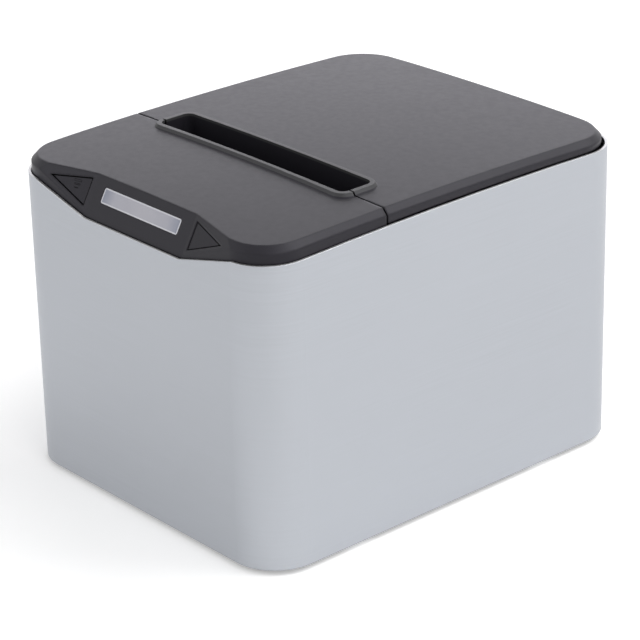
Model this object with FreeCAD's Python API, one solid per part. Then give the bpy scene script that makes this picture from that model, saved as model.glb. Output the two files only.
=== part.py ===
"""Thermal receipt printer: sheet-metal sleeve, split domed lid, and the printing mechanism inside.

Millimetres. X runs to the right along the front, Y to the back, Z up. The origin is on the floor,
below the middle of the sleeve.
"""
import FreeCAD, Part
import math
import os

Vector = FreeCAD.Vector

# Outside of the printer
BODY_WIDTH = 140.0
BODY_DEPTH = 173.0
CREST_HEIGHT = 122.5
CORNER_RADIUS = 18.0
DOME_RADIUS = 2200.0
FOOT_HEIGHT = 2.0
SHEET = 1.0

# Screws and clearances that several pieces share
SCREW_RADIUS = 1.25
SCREW_HEAD_RADIUS = 2.5
SCREW_HEAD = 1.1
SCREW_CLEARANCE = 0.03
SCREW_TIP_GAP = 0.4
DRIVE_DEPTH = 0.66
DRIVE_LENGTH = 1.8
DRIVE_WIDTH = 0.5
HOLE_PLAY = 0.2
WIDE_HOLE_PLAY = 0.3
RUNNING_GAP = 0.05
PRESS_FIT = 0.01
CUT_PAST = 1.0

# Covers
LID_WALL = 2.9
EDGE_SHIFT = 20.0
LID_BEVEL = 2.2
COVER_WALL = 2.2
LID_GAP = 0.3
EDGE_GAP = 0.3
HINGE_RELIEF = 0.7
HINGE_CORNER = 1.2
SEAM_SETBACK = 56.3
SEAM_GAP = 0.7
COVER_BOSS_RADIUS = 3.5
COVER_HOLE_HEIGHT = 8.0
COVER_SCREW_HEIGHT = 7.0
RIB = 1.4
RIB_HEIGHT = 2.5
RIB_LEAD = 26.0
RIB_END = 12.0
RIB_SPREAD = 20.0

# Paper slot
SLOT_LENGTH = 100.0
SLOT_WIDTH = 14.3
SLOT_LEAD = 3.3
SLOT_CORNER = 3.0
RIM_WIDTH = 2.2
RIM_SLOPE = 1.4
RIM_HEIGHT = 1.2
RIM_ROOT = 0.8
WELL_DEPTH = 15.0
WELL_WALL = 1.6
EXIT_GAP = 4.6
EXIT_MARGIN = 2.0

# Control panel
FACET_SETBACK = 8.5
FACET_HALF = 27.0
WING_REACH = 54.0
WING_INSET = 1.0
NOTCH_HALF = 26.3
NOTCH_DEPTH = 7.2
LIP = 1.2
WINDOW_LENGTH = 42.0
WINDOW_HEIGHT = 5.6
WINDOW_RISE = 1.0
WINDOW_CORNER = 0.8
WINDOW_STEP = 0.8
WINDOW_FIT = 0.1
GUIDE_INSET = 4.0
GUIDE_HALF = 1.8
GUIDE_DEPTH = 8.5
PANEL_BOARD_END = 5.0
PANEL_BOARD_HALF = 4.0
PANEL_BOARD_LOW = 3.0
PANEL_BOARD_HIGH = -5.0

# Buttons
BUTTON_INSET = 1.6
BUTTON_GAP = 0.4
BUTTON_SINK = 0.25
BUTTON_FLANGE = 0.6
BUTTON_FLANGE_THICKNESS = 1.2
BUTTON_PLAY = 0.3
BUTTON_ROOT = 1.0
FEED_STEM_RADIUS = 1.2
FEED_TRAVEL = 0.8
FEED_SLACK = 0.6
SWITCH_BODY_HALF = 3.0
SWITCH_HEIGHT = 2.4
SWITCH_KEY = 0.8
SWITCH_KEY_RADIUS = 1.6
OPEN_STEM = 16.0
OPEN_STEM_RADIUS = 1.8
OPEN_STEM_SPARE = 4.0
OPEN_STEM_GAP = 0.3

# Inner case and feet
CASE_GAP = 0.3
CASE_WALL = 2.0
CASE_FLOOR = 2.5
CASE_DROP = 20.5
FOOT_RADIUS = 7.0
FOOT_SEAT = 1.0
FOOT_CHAMFER = 0.5
FOOT_INSET = 17.0
TAB_LENGTH = 9.0
TAB_WIDTH = 12.0
TAB_SPREAD = 45.0
TAB_BOSS_RADIUS = 4.0
TAB_BOSS_HEIGHT = 8.0
TAB_HOLE_HEIGHT = 7.0
TAB_SCREW_HEIGHT = 6.0
FLOOR_ROOT = 0.5
LUG_SETBACK = 20.0
LUG_INSET = 8.5
LUG_THICKNESS = 3.0
LUG_HALF = 5.0

# Paper bucket and sensors
PAPER_WIDTH = 80.0
ROLL_RADIUS = 40.0
ROLL_GAP = 2.0
BUCKET_WALL = 2.0
BUCKET_RIM = 18.0
BUCKET_SETBACK = 9.0
BUCKET_DROP = 27.7
BUCKET_MARGIN = 1.5
LEG_HALF = 3.0
LEG_DEPTH = 6.0
LEG_INSET = 6.0
END_SENSOR_DROP_SHARE = 0.55
END_SENSOR_WIDTH = 5.0
END_SENSOR_HALF_DEPTH = 6.0
END_SENSOR_HALF_HEIGHT = 4.0
COVER_SENSOR_GAP = 1.0
COVER_SENSOR_WIDTH = 5.0
COVER_SENSOR_INSET = 1.0
COVER_SENSOR_DEPTH = 8.0
COVER_SENSOR_DROP = 16.0
COVER_SENSOR_HEIGHT = 10.0
LEVER_WIDTH = 3.0
LEVER_FRONT = 7.0
LEVER_BACK = 4.0
LEVER_HEIGHT = 2.0

# Chassis
PLATE = 1.5
PLATE_LEAD = 31.8
PLATE_REACH = 26.2
STEP_SETBACK = 6.7
PLATE_ABOVE_DECK = 4.0
FLANGE = 9.0
FLANGE_INSET = 4.0
CHASSIS_SCREW_INSET = 12.0

# Platen and its bushes
PLATEN_SETBACK = 14.2
PLATEN_DROP = 34.8
PLATEN_RADIUS = 5.0
PLATEN_SHAFT_RADIUS = 2.5
ROLLER_OVERHANG = 0.5
BUSH_RADIUS = 3.5
BUSH_OVERHANG = 0.3
BUSH_FLANGE = 1.2
BUSH_FLANGE_RISE = 1.0

# Platen carrier on the lid
CARRIER_TOP_DROP = 5.2
CARRIER_SCREW_INSET = 8.0
CARRIER_SCREW_OFFSETS = (6.0, 20.0)
CARRIER_BOSS_RADIUS = 3.0
CARRIER_HOLE_HEIGHT = 3.2
CARRIER_SCREW_HEIGHT = 3.0
CARRIER_BACK = 24.0
ARM_CLEARANCE = 2.5
ARM_WIDTH = 2.5
ARM_SIDE_GAP = 1.0
ARM_FOOT_HALF = 7.0
ARM_FOOT_DROP = 4.5
ARM_WAIST = 12.0
ARM_LEAD = 10.0
WELL_CLEARANCE = 1.0
SHELF_FRONT = 8.0
SHELF_BACK = 5.0

# Thermal head and its springs
HEAD_TILT = 25.0
HEAD_GAP = 0.3
HEAD = 1.0
HEAD_MARGIN = 1.0
PRINT_HEAD_HALF = 6.0
HEAT_SINK = 4.0
SINK_LOW = -16.0
SINK_HIGH = 9.0
BRACKET = 1.2
BRACKET_INSET = 1.0
HEAD_PIVOT = (-13.0, 8.5)
PIVOT_RADIUS = 2.0
EAR_RADIUS = 3.0
HEAD_EAR_ROOT = 0.4
SPRING_LENGTH = 9.5
SPRING_ALONG = 3.0
SPRING_SPREAD = 25.0
SPRING_BAR_LOW = -4.0
SPRING_BAR_HIGH = 10.0
HEAD_SPRING_RADIUS = 2.4
HEAD_SPRING_WIRE = 0.7
HEAD_SPRING_TURNS = 6

# Gears and motors
MODULE = 0.8
ADDENDUM = 0.75
DEDENDUM = 1.1
BACKLASH = 0.12
MESH_GAP = 0.1
PRESSURE_ANGLE = 20.0
DRIVE_ANGLE = math.radians(237.0)
PLATEN_TEETH = 24
SMALL_TEETH = 14
LARGE_TEETH = 40
GEAR_WIDTH = 4.0
GEAR_SIDE_GAP = 0.5
HUB_LENGTH = 1.2
STUD_RADIUS = 2.0
STUD_END_GAP = 0.2
STUD_HEAD = 0.8
STUD_HEAD_RISE = 1.2
STUD_COLLAR_RISE = 0.6
MOTOR_RADIUS = 11.0
MOTOR_LENGTH = 18.0
MOTOR_SHAFT_RADIUS = 1.5
MOTOR_SHAFT_SPARE = 0.5
MOTOR_BOSS_RADIUS = 4.0
MOTOR_CAP = 1.5
MOTOR_CAP_STEP = 3.0
CUTTER_MOTOR_RADIUS = 10.0
CUTTER_MOTOR_LENGTH = 24.0
CUTTER_SHAFT_DEPTH = 12.0

# Cutter
DECK_RISE = 12.3
DECK = 1.2
DECK_SETBACK = 0.8
DECK_SIDE_GAP = 0.1
RAIL = 1.2
RAIL_GAP = 0.3
RAIL_LIP = 1.2
SPRING_WALL_HALF = 10.0
SPRING_WALL_DROP = 12.0
BLADE = 0.8
BLADE_INSET = 0.5
BLADE_LENGTH = 13.0
BLADE_NOTCH = 4.0
SLIDE_GAP = 0.1
CUT_STROKE = 9.0
CUT_LAP = 0.5
CUT_LEAD = 11.7
CUTTER_SETBACK = 7.0
RACK_X = 18.4
RACK_HEIGHT = 3.0
RACK_LEAD = 1.0
RACK_END = 8.0
RACK_BAR = 6.5
TOOTH_ROOT = 0.01
PINION_RISE = 0.2
FIXED_BLADE = 1.5
FIXED_BLADE_BACK = 4.0
GROUND_SLOPE = 1.8
BLADE_SIDE_GAP = 0.2
BLADE_SCREW_INSET = 10.0
BLADE_SCREW_SETBACK = 0.5

# Latch
LATCH_STROKE = 2.5
LATCH_HEIGHT = 6.0
LATCH_DROP = 2.2
LATCH_SIDE_GAP = 0.5
LATCH_LEAD = 8.0
HOOK_OVERHANG = 0.7
HOOK_GAP = 0.3
HOOK_BACK = 2.0
HOOK_POST = 3.5
HOOK_HEIGHT = 2.5
HOOK_LEAD = 1.0
HOOK_NOSE = 1.2
GUIDE_RADIUS = 1.6
GUIDE_OFFSETS = (4.0, 27.0)
GUIDE_PLAY = 0.1
GUIDE_END_PLAY = 0.4
GUIDE_SHOULDER = 0.2
GUIDE_HEAD = 1.2
GUIDE_HEAD_RADIUS = 2.8
TAB_ROOT = 1.0
SPRING_TAB_HALF = 8.0
SPRING_TAB_GAP = 2.0
PUSH_TAB_INNER = 4.0
PUSH_TAB_OUTER = 6.0
PUSH_TAB_ABOVE = 4.0
LATCH_SPRING_DROP = 7.0
LATCH_SPRING_RADIUS = 2.4
LATCH_SPRING_WIRE = 0.6
LATCH_SPRING_TURNS = 5

# Hinge
HINGE_SETBACK = 10.0
PIN_RADIUS = 1.0
PIN_INSET = 0.2
KNUCKLE_RADIUS = 2.0
KNUCKLE_GAP = 0.3
NECK_SETBACK = 1.7
NECK_FOOT = 2.0
EAR_WIDTH = 5.0
EAR_INNER = 41.5
HINGE_SIDE_GAP = 1.0
BRACKET_SIDE_GAP = 0.4
BRACKET_HANG = 18.0
BRACKET_DEPTH = 8.0
BRACKET_FRONT_DROP = 6.0
WALL_DROP = 1.0

# Main board
BOARD = 1.6
BOARD_DEPTH = 80.0
BOARD_MARGIN = 4.0
BOARD_BACK_GAP = 5.5
BOARD_STANDOFF = 2.5
STANDOFF_MARGIN = 10.0
STANDOFF_RADIUS = 3.0
STANDOFF_FRONT = 5.0
STANDOFF_BACK = 30.0
BOARD_SCREW_ROOT = 0.8
CAPACITOR_RADIUS = 2.6
CAPACITOR_HEIGHT = 4.5
CAPACITOR_SPREAD = 14.0
CAPACITOR_LEAD = 8.0
CHIP_ROW = 22.0
# Left, right, front, back and height of each chip, from the middle of the board and CHIP_ROW
CHIPS = ((-22.0, -8.0, 0.0, 14.0, 1.4), (-2.0, 8.0, 2.0, 8.0, 1.2), (14.0, 24.0, 0.0, 10.0, 1.6))

# Sockets and rear plate
SOCKET_RECESS = 0.9
SOCKET_SILL = 1.6
SOCKET_MARGIN = 0.2
REAR_WINDOW_REACH = 10.0
REAR_WINDOW_DROP = 0.8
REAR_WINDOW_RISE = 20.0
REAR_WINDOW_CUT = 8.0
REAR_WINDOW_MARGIN = 1.0
REAR_PLATE_MARGIN = 1.8
REAR_PLATE_LIFT = 0.3
REAR_PLATE_ABOVE = 3.0
INLET_X = -42.0
INLET_SIZE = 14.0
INLET_DEPTH = 15.0
INLET_BORE_RADIUS = 5.2
INLET_BORE_DEPTH = 11.0
INLET_PIN_RADIUS = 0.7
INLET_PIN_CIRCLE = 2.6
INLET_PIN_ROOT = 12.0
INLET_PIN_TIP = 6.0
USB_X = -19.0
USB_WIDTH = 12.0
USB_HEIGHT = 11.0
USB_DEPTH = 16.0
USB_MOUTH = (8.5, 7.8)
USB_MOUTH_DEPTH = 13.0
TONGUE_HALF = 2.8
TONGUE_ROOT = 14.0
TONGUE_TIP = 5.0
TONGUE_LOW = 3.9
TONGUE_HIGH = 7.1
LAN_X = 3.0
LAN_WIDTH = 16.0
LAN_HEIGHT = 13.5
LAN_DEPTH = 19.0
LAN_MOUTH = (11.8, 8.2)
LAN_KEYWAY = (6.2, 11.0)
LAN_MOUTH_DEPTH = 14.0
DRAWER_X = 24.0
DRAWER_WIDTH = 13.5
DRAWER_HEIGHT = 12.0
DRAWER_DEPTH = 18.0
DRAWER_MOUTH = (9.8, 6.8)
DRAWER_KEYWAY = (6.2, 9.0)
DRAWER_MOUTH_DEPTH = 12.0

# Power switch
SWITCH_X = 41.5
SWITCH_WIDTH = 15.0
SWITCH_TALL = 11.0
SWITCH_DEPTH = 14.0
SWITCH_RISE = 2.0
SWITCH_FACE_SETBACK = 1.5
SWITCH_LEG_HALF = 4.0
SWITCH_LEG_FRONT = 13.0
SWITCH_LEG_BACK = 5.0
SWITCH_LEG_ROOT = 0.1
ROCKER_WIDTH = 11.0
ROCKER_HEIGHT = 7.0
ROCKER_TILT = 8.0
ROCKER_RADIUS = 1.2
ROCKER_SETBACK = 4.5
ROCKER_END_GAP = 0.5
ROCKER_GAP = 0.3
ROCKER_WELL = 10.0
ROCKER_TIP = 4.0
ROCKER_DIP = 3.0
ROCKER_ROOT = 1.0
ROCKER_TAPER = 1.2
ROCKER_PIN_END = 1.2
ROCKER_PIN_SEAT = 1.5

# Places worked out from the sizes above
FRONT = -BODY_DEPTH / 2
BACK = BODY_DEPTH / 2
LID_INSET = SHEET + LID_GAP
SLEEVE_DROP = LID_WALL + LID_BEVEL
SEAM_Y = FRONT + SEAM_SETBACK
SLOT_FRONT = SEAM_Y - SLOT_LEAD
WELL_FLOOR = CREST_HEIGHT - WELL_DEPTH
CASE_BOTTOM = FOOT_HEIGHT + SHEET
FLOOR = CASE_BOTTOM + CASE_FLOOR
CASE_TOP = CREST_HEIGHT - CASE_DROP
CASE_HALF_X = BODY_WIDTH / 2 - SHEET - CASE_GAP
CASE_HALF_Y = BODY_DEPTH / 2 - SHEET - CASE_GAP
SKIRT_BOTTOM = CASE_TOP + EDGE_GAP
PLATEN_Y = SEAM_Y + PLATEN_SETBACK
PLATEN_Z = CREST_HEIGHT - PLATEN_DROP
ARM_INNER = PAPER_WIDTH / 2 + ARM_CLEARANCE
ARM_OUTER = ARM_INNER + ARM_WIDTH
PLATE_X = ARM_OUTER + ARM_SIDE_GAP
LATCH_X = PLATE_X + PLATE + LATCH_SIDE_GAP
BUSH_END = LATCH_X + PLATE + BUSH_OVERHANG
GEAR_X = BUSH_END + GEAR_SIDE_GAP
LARGE_X = GEAR_X + GEAR_WIDTH + HUB_LENGTH
BUCKET_Y = PLATEN_Y + ROLL_RADIUS + BUCKET_SETBACK
BUCKET_Z = PLATEN_Z - BUCKET_DROP
BUCKET_RADIUS = ROLL_RADIUS + ROLL_GAP
BUCKET_HALF = PAPER_WIDTH / 2 + BUCKET_MARGIN
DECK_Z = PLATEN_Z + DECK_RISE
HINGE_Y = BACK - HINGE_SETBACK
PLATE_FRONT = SEAM_Y - PLATE_LEAD
PLATE_BACK = SEAM_Y + PLATE_REACH
PLATE_STEP = SEAM_Y + STEP_SETBACK
BOARD_Z = FLOOR + BOARD_STANDOFF
BOARD_TOP = BOARD_Z + BOARD
BOARD_FRONT = BACK - BOARD_DEPTH
REAR_WINDOW_HALF = PAPER_WIDTH / 2 + REAR_WINDOW_REACH
REAR_WINDOW_LOW = BOARD_TOP - REAR_WINDOW_DROP
REAR_WINDOW_HIGH = BOARD_TOP + REAR_WINDOW_RISE
STANDOFF_HALF = PAPER_WIDTH / 2 + STANDOFF_MARGIN
HEAD_HALF = PAPER_WIDTH / 2 + HEAD_MARGIN
SINK_FACE = HEAD_GAP + HEAD
BRACKET_FACE = SINK_FACE + HEAT_SINK
SPRING_FACE = BRACKET_FACE + BRACKET
BLADE_HALF = ARM_INNER - BLADE_INSET
CUTTER_Y = PLATE_FRONT + CUTTER_SETBACK
LATCH_FRONT = PLATE_FRONT - LATCH_LEAD
SOCKET_FACE = BACK - SOCKET_RECESS


def box(x0, x1, y0, y1, z0, z1):
    return Part.makeBox(x1 - x0, y1 - y0, z1 - z0, Vector(x0, y0, z0))


def rod_x(radius, x0, x1, y, z):
    return Part.makeCylinder(radius, x1 - x0, Vector(x0, y, z), Vector(1, 0, 0))


def rod_y(radius, y0, y1, x, z):
    return Part.makeCylinder(radius, y1 - y0, Vector(x, y0, z), Vector(0, 1, 0))


def rod_z(radius, z0, z1, x, y):
    return Part.makeCylinder(radius, z1 - z0, Vector(x, y, z0))


def fuse(shapes):
    """One clean solid from overlapping or touching shapes."""
    result = shapes[0]
    for shape in shapes[1:]:
        result = result.fuse(shape)
    return result.removeSplitter()


def prism_yz(points, x0, x1):
    """A flat outline in the YZ plane, thickened along X."""
    corners = [Vector(x0, y, z) for y, z in points]
    face = Part.Face(Part.makePolygon(corners + corners[:1]))
    return face.extrude(Vector(x1 - x0, 0, 0))


def slab(corners, normal, low, high):
    """A flat outline moved along its normal, from low to high."""
    base = [corner + normal * low for corner in corners]
    face = Part.Face(Part.makePolygon(base + base[:1]))
    return face.extrude(normal * (high - low))


def rounded_block(width, y0, y1, radius, z0, z1):
    block = box(-width / 2, width / 2, y0, y1, z0, z1)
    upright = [edge for edge in block.Edges if abs(edge.tangentAt(edge.FirstParameter).z) > 0.9]
    return block.makeFillet(radius, upright)


def dome_ball(drop):
    """The solid below a surface that runs parallel to the lid, lower by drop."""
    centre = Vector(0, 0, CREST_HEIGHT - DOME_RADIUS)
    ball = Part.makeSphere(DOME_RADIUS - drop, centre, Vector(1, 0, 0))
    ball.rotate(centre, Vector(1, 0, 0), 180)
    return ball


def dome_height(x, y, drop):
    """Height of the surface that dome_ball bounds."""
    radius = DOME_RADIUS - drop
    return CREST_HEIGHT - DOME_RADIUS + math.sqrt(radius ** 2 - x ** 2 - y ** 2)


def edge_ball(drop):
    """As dome_ball, but moved back, so that it rises towards the lid's top at the back."""
    ball = dome_ball(drop)
    ball.translate(Vector(0, EDGE_SHIFT, 0))
    return ball


def edge_height(x, y, drop):
    """Height of the surface that edge_ball bounds."""
    return dome_height(x, y - EDGE_SHIFT, drop)


def both_sides(maker):
    """The same shape on the left and on the right."""
    return [maker(-1), maker(1)]


def span(side, near, far):
    """A stretch along X that is given from the middle outwards."""
    return sorted((side * near, side * far))


# Sleeve, case and feet

def notch_edge():
    """Height of the notch's lower edge in the sleeve's front."""
    return edge_height(WING_REACH, FRONT, SLEEVE_DROP) - NOTCH_DEPTH


def panel_notch():
    low = notch_edge()
    rise = NOTCH_DEPTH / (WING_REACH - NOTCH_HALF)
    far = BODY_WIDTH / 2
    high = low + rise * (far - NOTCH_HALF)
    outline = [(-NOTCH_HALF, low), (NOTCH_HALF, low), (far, high), (-far, high)]
    corners = [Vector(x, FRONT - SHEET, z) for x, z in outline]
    face = Part.Face(Part.makePolygon(corners + corners[:1]))
    return face.extrude(Vector(0, 2 * SHEET + CORNER_RADIUS / 4, 0))


def rear_window(margin):
    half = REAR_WINDOW_HALF + margin
    return box(-half, half, BACK - REAR_WINDOW_CUT, BACK + CUT_PAST,
               REAR_WINDOW_LOW - margin, REAR_WINDOW_HIGH + margin)


def tab_places():
    inner = BODY_WIDTH / 2 - SHEET - TAB_LENGTH / 2
    return [(sx * inner, sy * TAB_SPREAD) for sx in (-1, 1) for sy in (-1, 1)]


def metal_sleeve():
    outer = rounded_block(BODY_WIDTH, FRONT, BACK, CORNER_RADIUS, FOOT_HEIGHT, CREST_HEIGHT)
    inner = rounded_block(BODY_WIDTH - 2 * SHEET, FRONT + SHEET, BACK - SHEET, CORNER_RADIUS - SHEET,
                          FOOT_HEIGHT - CUT_PAST, CREST_HEIGHT + CUT_PAST)
    sleeve = outer.cut(inner).common(edge_ball(SLEEVE_DROP))
    sleeve = sleeve.cut(panel_notch()).cut(rear_window(REAR_WINDOW_MARGIN))
    for x, y in tab_places():
        reach = TAB_LENGTH / 2 + SHEET / 2
        shift = math.copysign(SHEET / 2, x)
        tab = box(x + shift - reach, x + shift + reach, y - TAB_WIDTH / 2, y + TAB_WIDTH / 2,
                  FOOT_HEIGHT, FOOT_HEIGHT + SHEET)
        sleeve = sleeve.fuse(tab)
        sleeve = sleeve.cut(rod_z(SCREW_RADIUS + WIDE_HOLE_PLAY, FOOT_HEIGHT - CUT_PAST,
                                  FOOT_HEIGHT + SHEET + CUT_PAST, x, y))
    return sleeve.removeSplitter()


def foot_places():
    x = BODY_WIDTH / 2 - FOOT_INSET
    y = BODY_DEPTH / 2 - FOOT_INSET
    return [(sx * x, sy * y) for sx in (-1, 1) for sy in (-1, 1)]


def rubber_feet():
    feet = []
    for x, y in foot_places():
        foot = rod_z(FOOT_RADIUS, 0, CASE_BOTTOM + FOOT_SEAT, x, y)
        rim = [edge for edge in foot.Edges if edge.BoundBox.ZMax < FOOT_CHAMFER]
        feet.append(foot.makeChamfer(FOOT_CHAMFER, rim))
    return feet


def lug_places():
    x = CASE_HALF_X - LUG_INSET
    return [(side * x, FRONT + LUG_SETBACK) for side in (-1, 1)]


def standoff_places():
    rows = (BOARD_FRONT + STANDOFF_FRONT, BACK - STANDOFF_BACK)
    return [(sx * STANDOFF_HALF, y) for sx in (-1, 1) for y in rows]


def chassis_screw_places():
    x = PLATE_X + PLATE + FLANGE / 2
    rows = (PLATE_FRONT + CHASSIS_SCREW_INSET, PLATE_BACK - CHASSIS_SCREW_INSET)
    return [(side * x, y) for side in (-1, 1) for y in rows]


def case_space():
    """The space between the inner case's walls, without an upper end."""
    x = CASE_HALF_X - CASE_WALL
    y = CASE_HALF_Y - CASE_WALL
    radius = CORNER_RADIUS - SHEET - CASE_GAP - CASE_WALL
    return rounded_block(2 * x, -y, y, radius, FLOOR, 2 * CREST_HEIGHT)


def inner_case():
    radius = CORNER_RADIUS - SHEET - CASE_GAP
    outer = rounded_block(2 * CASE_HALF_X, -CASE_HALF_Y, CASE_HALF_Y, radius, CASE_BOTTOM, CASE_TOP)
    case = outer.cut(case_space())
    extras = []
    for x, y in tab_places():
        extras.append(rod_z(TAB_BOSS_RADIUS, CASE_BOTTOM + FLOOR_ROOT, FLOOR + TAB_BOSS_HEIGHT, x, y))
    for x, y in standoff_places():
        extras.append(rod_z(STANDOFF_RADIUS, FLOOR - FLOOR_ROOT, BOARD_Z, x, y))
    for x, y in lug_places():
        reach = math.copysign(LUG_INSET - CASE_WALL / 2, x)
        x0, x1 = sorted((x - math.copysign(LUG_HALF, x), x + reach))
        extras.append(box(x0, x1, y - LUG_HALF, y + LUG_HALF, CASE_TOP - LUG_THICKNESS, CASE_TOP))
    case = fuse([case] + extras)
    for x, y in tab_places():
        case = case.cut(rod_z(SCREW_RADIUS + SCREW_CLEARANCE, 0, FLOOR + TAB_HOLE_HEIGHT, x, y))
    for x, y in foot_places():
        case = case.cut(rod_z(FOOT_RADIUS + RUNNING_GAP, 0, CASE_BOTTOM + FOOT_SEAT, x, y))
    for x, y in lug_places():
        case = case.cut(rod_z(SCREW_RADIUS + WIDE_HOLE_PLAY, CASE_TOP - 2 * LUG_THICKNESS,
                              CASE_TOP + CUT_PAST, x, y))
    for x, y in standoff_places():
        case = case.cut(rod_z(SCREW_RADIUS + SCREW_CLEARANCE, FLOOR - CUT_PAST, BOARD_Z + CUT_PAST, x, y))
    for x, y in chassis_screw_places():
        case = case.cut(rod_z(SCREW_RADIUS + SCREW_CLEARANCE, CASE_BOTTOM - CUT_PAST, FLOOR + CUT_PAST,
                              x, y))
    return case.cut(rear_window(0.0))


def screw(x, y, seat, tip, radius=SCREW_RADIUS):
    """A pan-head screw along Z: the head lies past seat, on the side away from tip."""
    up = 1 if tip > seat else -1
    shank = rod_z(radius, min(seat, tip), max(seat, tip), x, y)
    head_end = seat - up * SCREW_HEAD
    head = rod_z(SCREW_HEAD_RADIUS, min(seat, head_end), max(seat, head_end), x, y)
    drive_end = head_end + up * DRIVE_DEPTH
    for width, depth in ((DRIVE_LENGTH, DRIVE_WIDTH), (DRIVE_WIDTH, DRIVE_LENGTH)):
        head = head.cut(box(x - width / 2, x + width / 2, y - depth / 2, y + depth / 2,
                            min(head_end, drive_end), max(head_end, drive_end)))
    return fuse([shank, head])


def case_screws():
    return [screw(x, y, FOOT_HEIGHT, FLOOR + TAB_SCREW_HEIGHT) for x, y in tab_places()]


# Covers

def lid_back():
    return BACK - LID_INSET - HINGE_RELIEF


def lid_block(inset, drop, bottom):
    """The lid's outline moved in by inset, below the dome lowered by drop.

    The corners beside the hinge are rounder, so that they swing clear of the sleeve.
    """
    width = BODY_WIDTH - 2 * (LID_INSET + inset)
    radius = CORNER_RADIUS - LID_INSET - inset
    top = CREST_HEIGHT + CUT_PAST
    front = rounded_block(width, FRONT + LID_INSET + inset, 2 * BACK, radius, bottom, top)
    rear = rounded_block(width, 2 * FRONT, lid_back() - inset, radius + HINGE_CORNER, bottom, top)
    return front.common(rear).common(dome_ball(drop))


def bevelled_lid():
    block = lid_block(0.0, 0.0, SKIRT_BOTTOM)
    top = max(block.Faces, key=lambda face: face.CenterOfMass.z)
    return block.makeChamfer(LID_BEVEL, top.Edges)


def front_half():
    return box(-BODY_WIDTH, BODY_WIDTH, -BODY_DEPTH, SEAM_Y - SEAM_GAP / 2, 0, 2 * CREST_HEIGHT)


def rear_half():
    return box(-BODY_WIDTH, BODY_WIDTH, SEAM_Y + SEAM_GAP / 2, BODY_DEPTH, 0, 2 * CREST_HEIGHT)


def slot_prism(margin, low, high):
    return rounded_block(SLOT_LENGTH + 2 * margin, SLOT_FRONT - margin, SLOT_FRONT + SLOT_WIDTH + margin,
                         SLOT_CORNER + margin, low, high)


def slot_outline(margin, z):
    prism = slot_prism(margin, z, z + 1)
    return min(prism.Faces, key=lambda face: face.CenterOfMass.z).OuterWire


def slot_body():
    """The raised rim and the walls and floor of the well below it."""
    foot = slot_outline(RIM_WIDTH + RIM_SLOPE, CREST_HEIGHT - COVER_WALL)
    head = slot_outline(RIM_WIDTH - RIM_SLOPE, CREST_HEIGHT - COVER_WALL + 2 * (RIM_HEIGHT + RIM_ROOT))
    rim = Part.makeLoft([foot, head], True, True).common(dome_ball(-RIM_HEIGHT))
    well = slot_prism(WELL_WALL, WELL_FLOOR - WELL_WALL, CREST_HEIGHT - COVER_WALL)
    return rim.fuse(well.common(dome_ball(COVER_WALL / 2)))


def slot_void():
    half = PAPER_WIDTH / 2 + EXIT_MARGIN
    exit_cut = box(-half, half, SEAM_Y - EXIT_GAP / 2, SEAM_Y + EXIT_GAP / 2,
                   WELL_FLOOR - 2 * WELL_WALL, WELL_FLOOR + CUT_PAST)
    return slot_prism(0.0, WELL_FLOOR, CREST_HEIGHT + 2 * RIM_HEIGHT).fuse(exit_cut)


# Control panel: a middle facet and two wing facets folded along its ends

def facet_top():
    y = FRONT + FACET_SETBACK
    return Vector(0, y, dome_height(FACET_HALF, y, 0.0))


def facet_foot():
    return Vector(0, FRONT + LID_INSET, notch_edge() + LIP)


def facet_down():
    return (facet_foot() - facet_top()).normalize()


def facet_normal():
    return facet_down().cross(Vector(1, 0, 0)).normalize()


def facet_middle():
    return (facet_top() + facet_foot()) * 0.5


def facet_box(x0, x1, s0, s1, n0, n1):
    """A block on the middle facet: s runs down the slope from its middle, n outwards."""
    corners = [facet_middle() + Vector(x, 0, 0) + facet_down() * s
               for x, s in ((x0, s0), (x1, s0), (x1, s1), (x0, s1))]
    return slab(corners, facet_normal(), n0, n1)


def wing_corners(side):
    y = FRONT + LID_INSET
    across = Vector(side * FACET_HALF, 0, 0)
    reach = WING_REACH - WING_INSET
    apex = Vector(side * reach, y, dome_height(reach, y, LID_BEVEL))
    return [facet_top() + across, facet_foot() + across, apex]


def wing_normal(side):
    top, foot, apex = wing_corners(side)
    normal = (foot - top).cross(apex - top).normalize()
    return normal if normal.y < 0 else normal * -1


def triangle_centre(corners):
    """Centre and radius of the circle that touches the three sides."""
    a, b, c = corners
    sides = [(b - c).Length, (c - a).Length, (a - b).Length]
    whole = sum(sides)
    centre = (a * sides[0] + b * sides[1] + c * sides[2]) * (1 / whole)
    area = (b - a).cross(c - a).Length / 2
    return centre, 2 * area / whole


def inset_triangle(side, inset):
    corners = wing_corners(side)
    centre, radius = triangle_centre(corners)
    return [centre + (corner - centre) * (1 - inset / radius) for corner in corners]


def outside_of(point, normal, depth):
    """A large block whose base lies depth below the plane through point."""
    size = 2 * BODY_WIDTH
    block = Part.makeBox(size, size, size, Vector(-size / 2, -size / 2, 0))
    turn = FreeCAD.Rotation(Vector(0, 0, 1), normal)
    block.Placement = FreeCAD.Placement(point - normal * depth, turn)
    return block


def facet_cutter(depth):
    """What the three facets take off the front cover, with each facet moved in by depth."""
    cutter = outside_of(facet_middle(), facet_normal(), depth)
    for side in (-1, 1):
        cutter = cutter.common(outside_of(wing_corners(side)[0], wing_normal(side), depth))
    return cutter


def front_void(margin):
    """Space inside the front cover, less margin all round."""
    wall = COVER_WALL + margin
    return lid_block(wall, wall, SKIRT_BOTTOM - CUT_PAST).cut(facet_cutter(wall))


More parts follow.
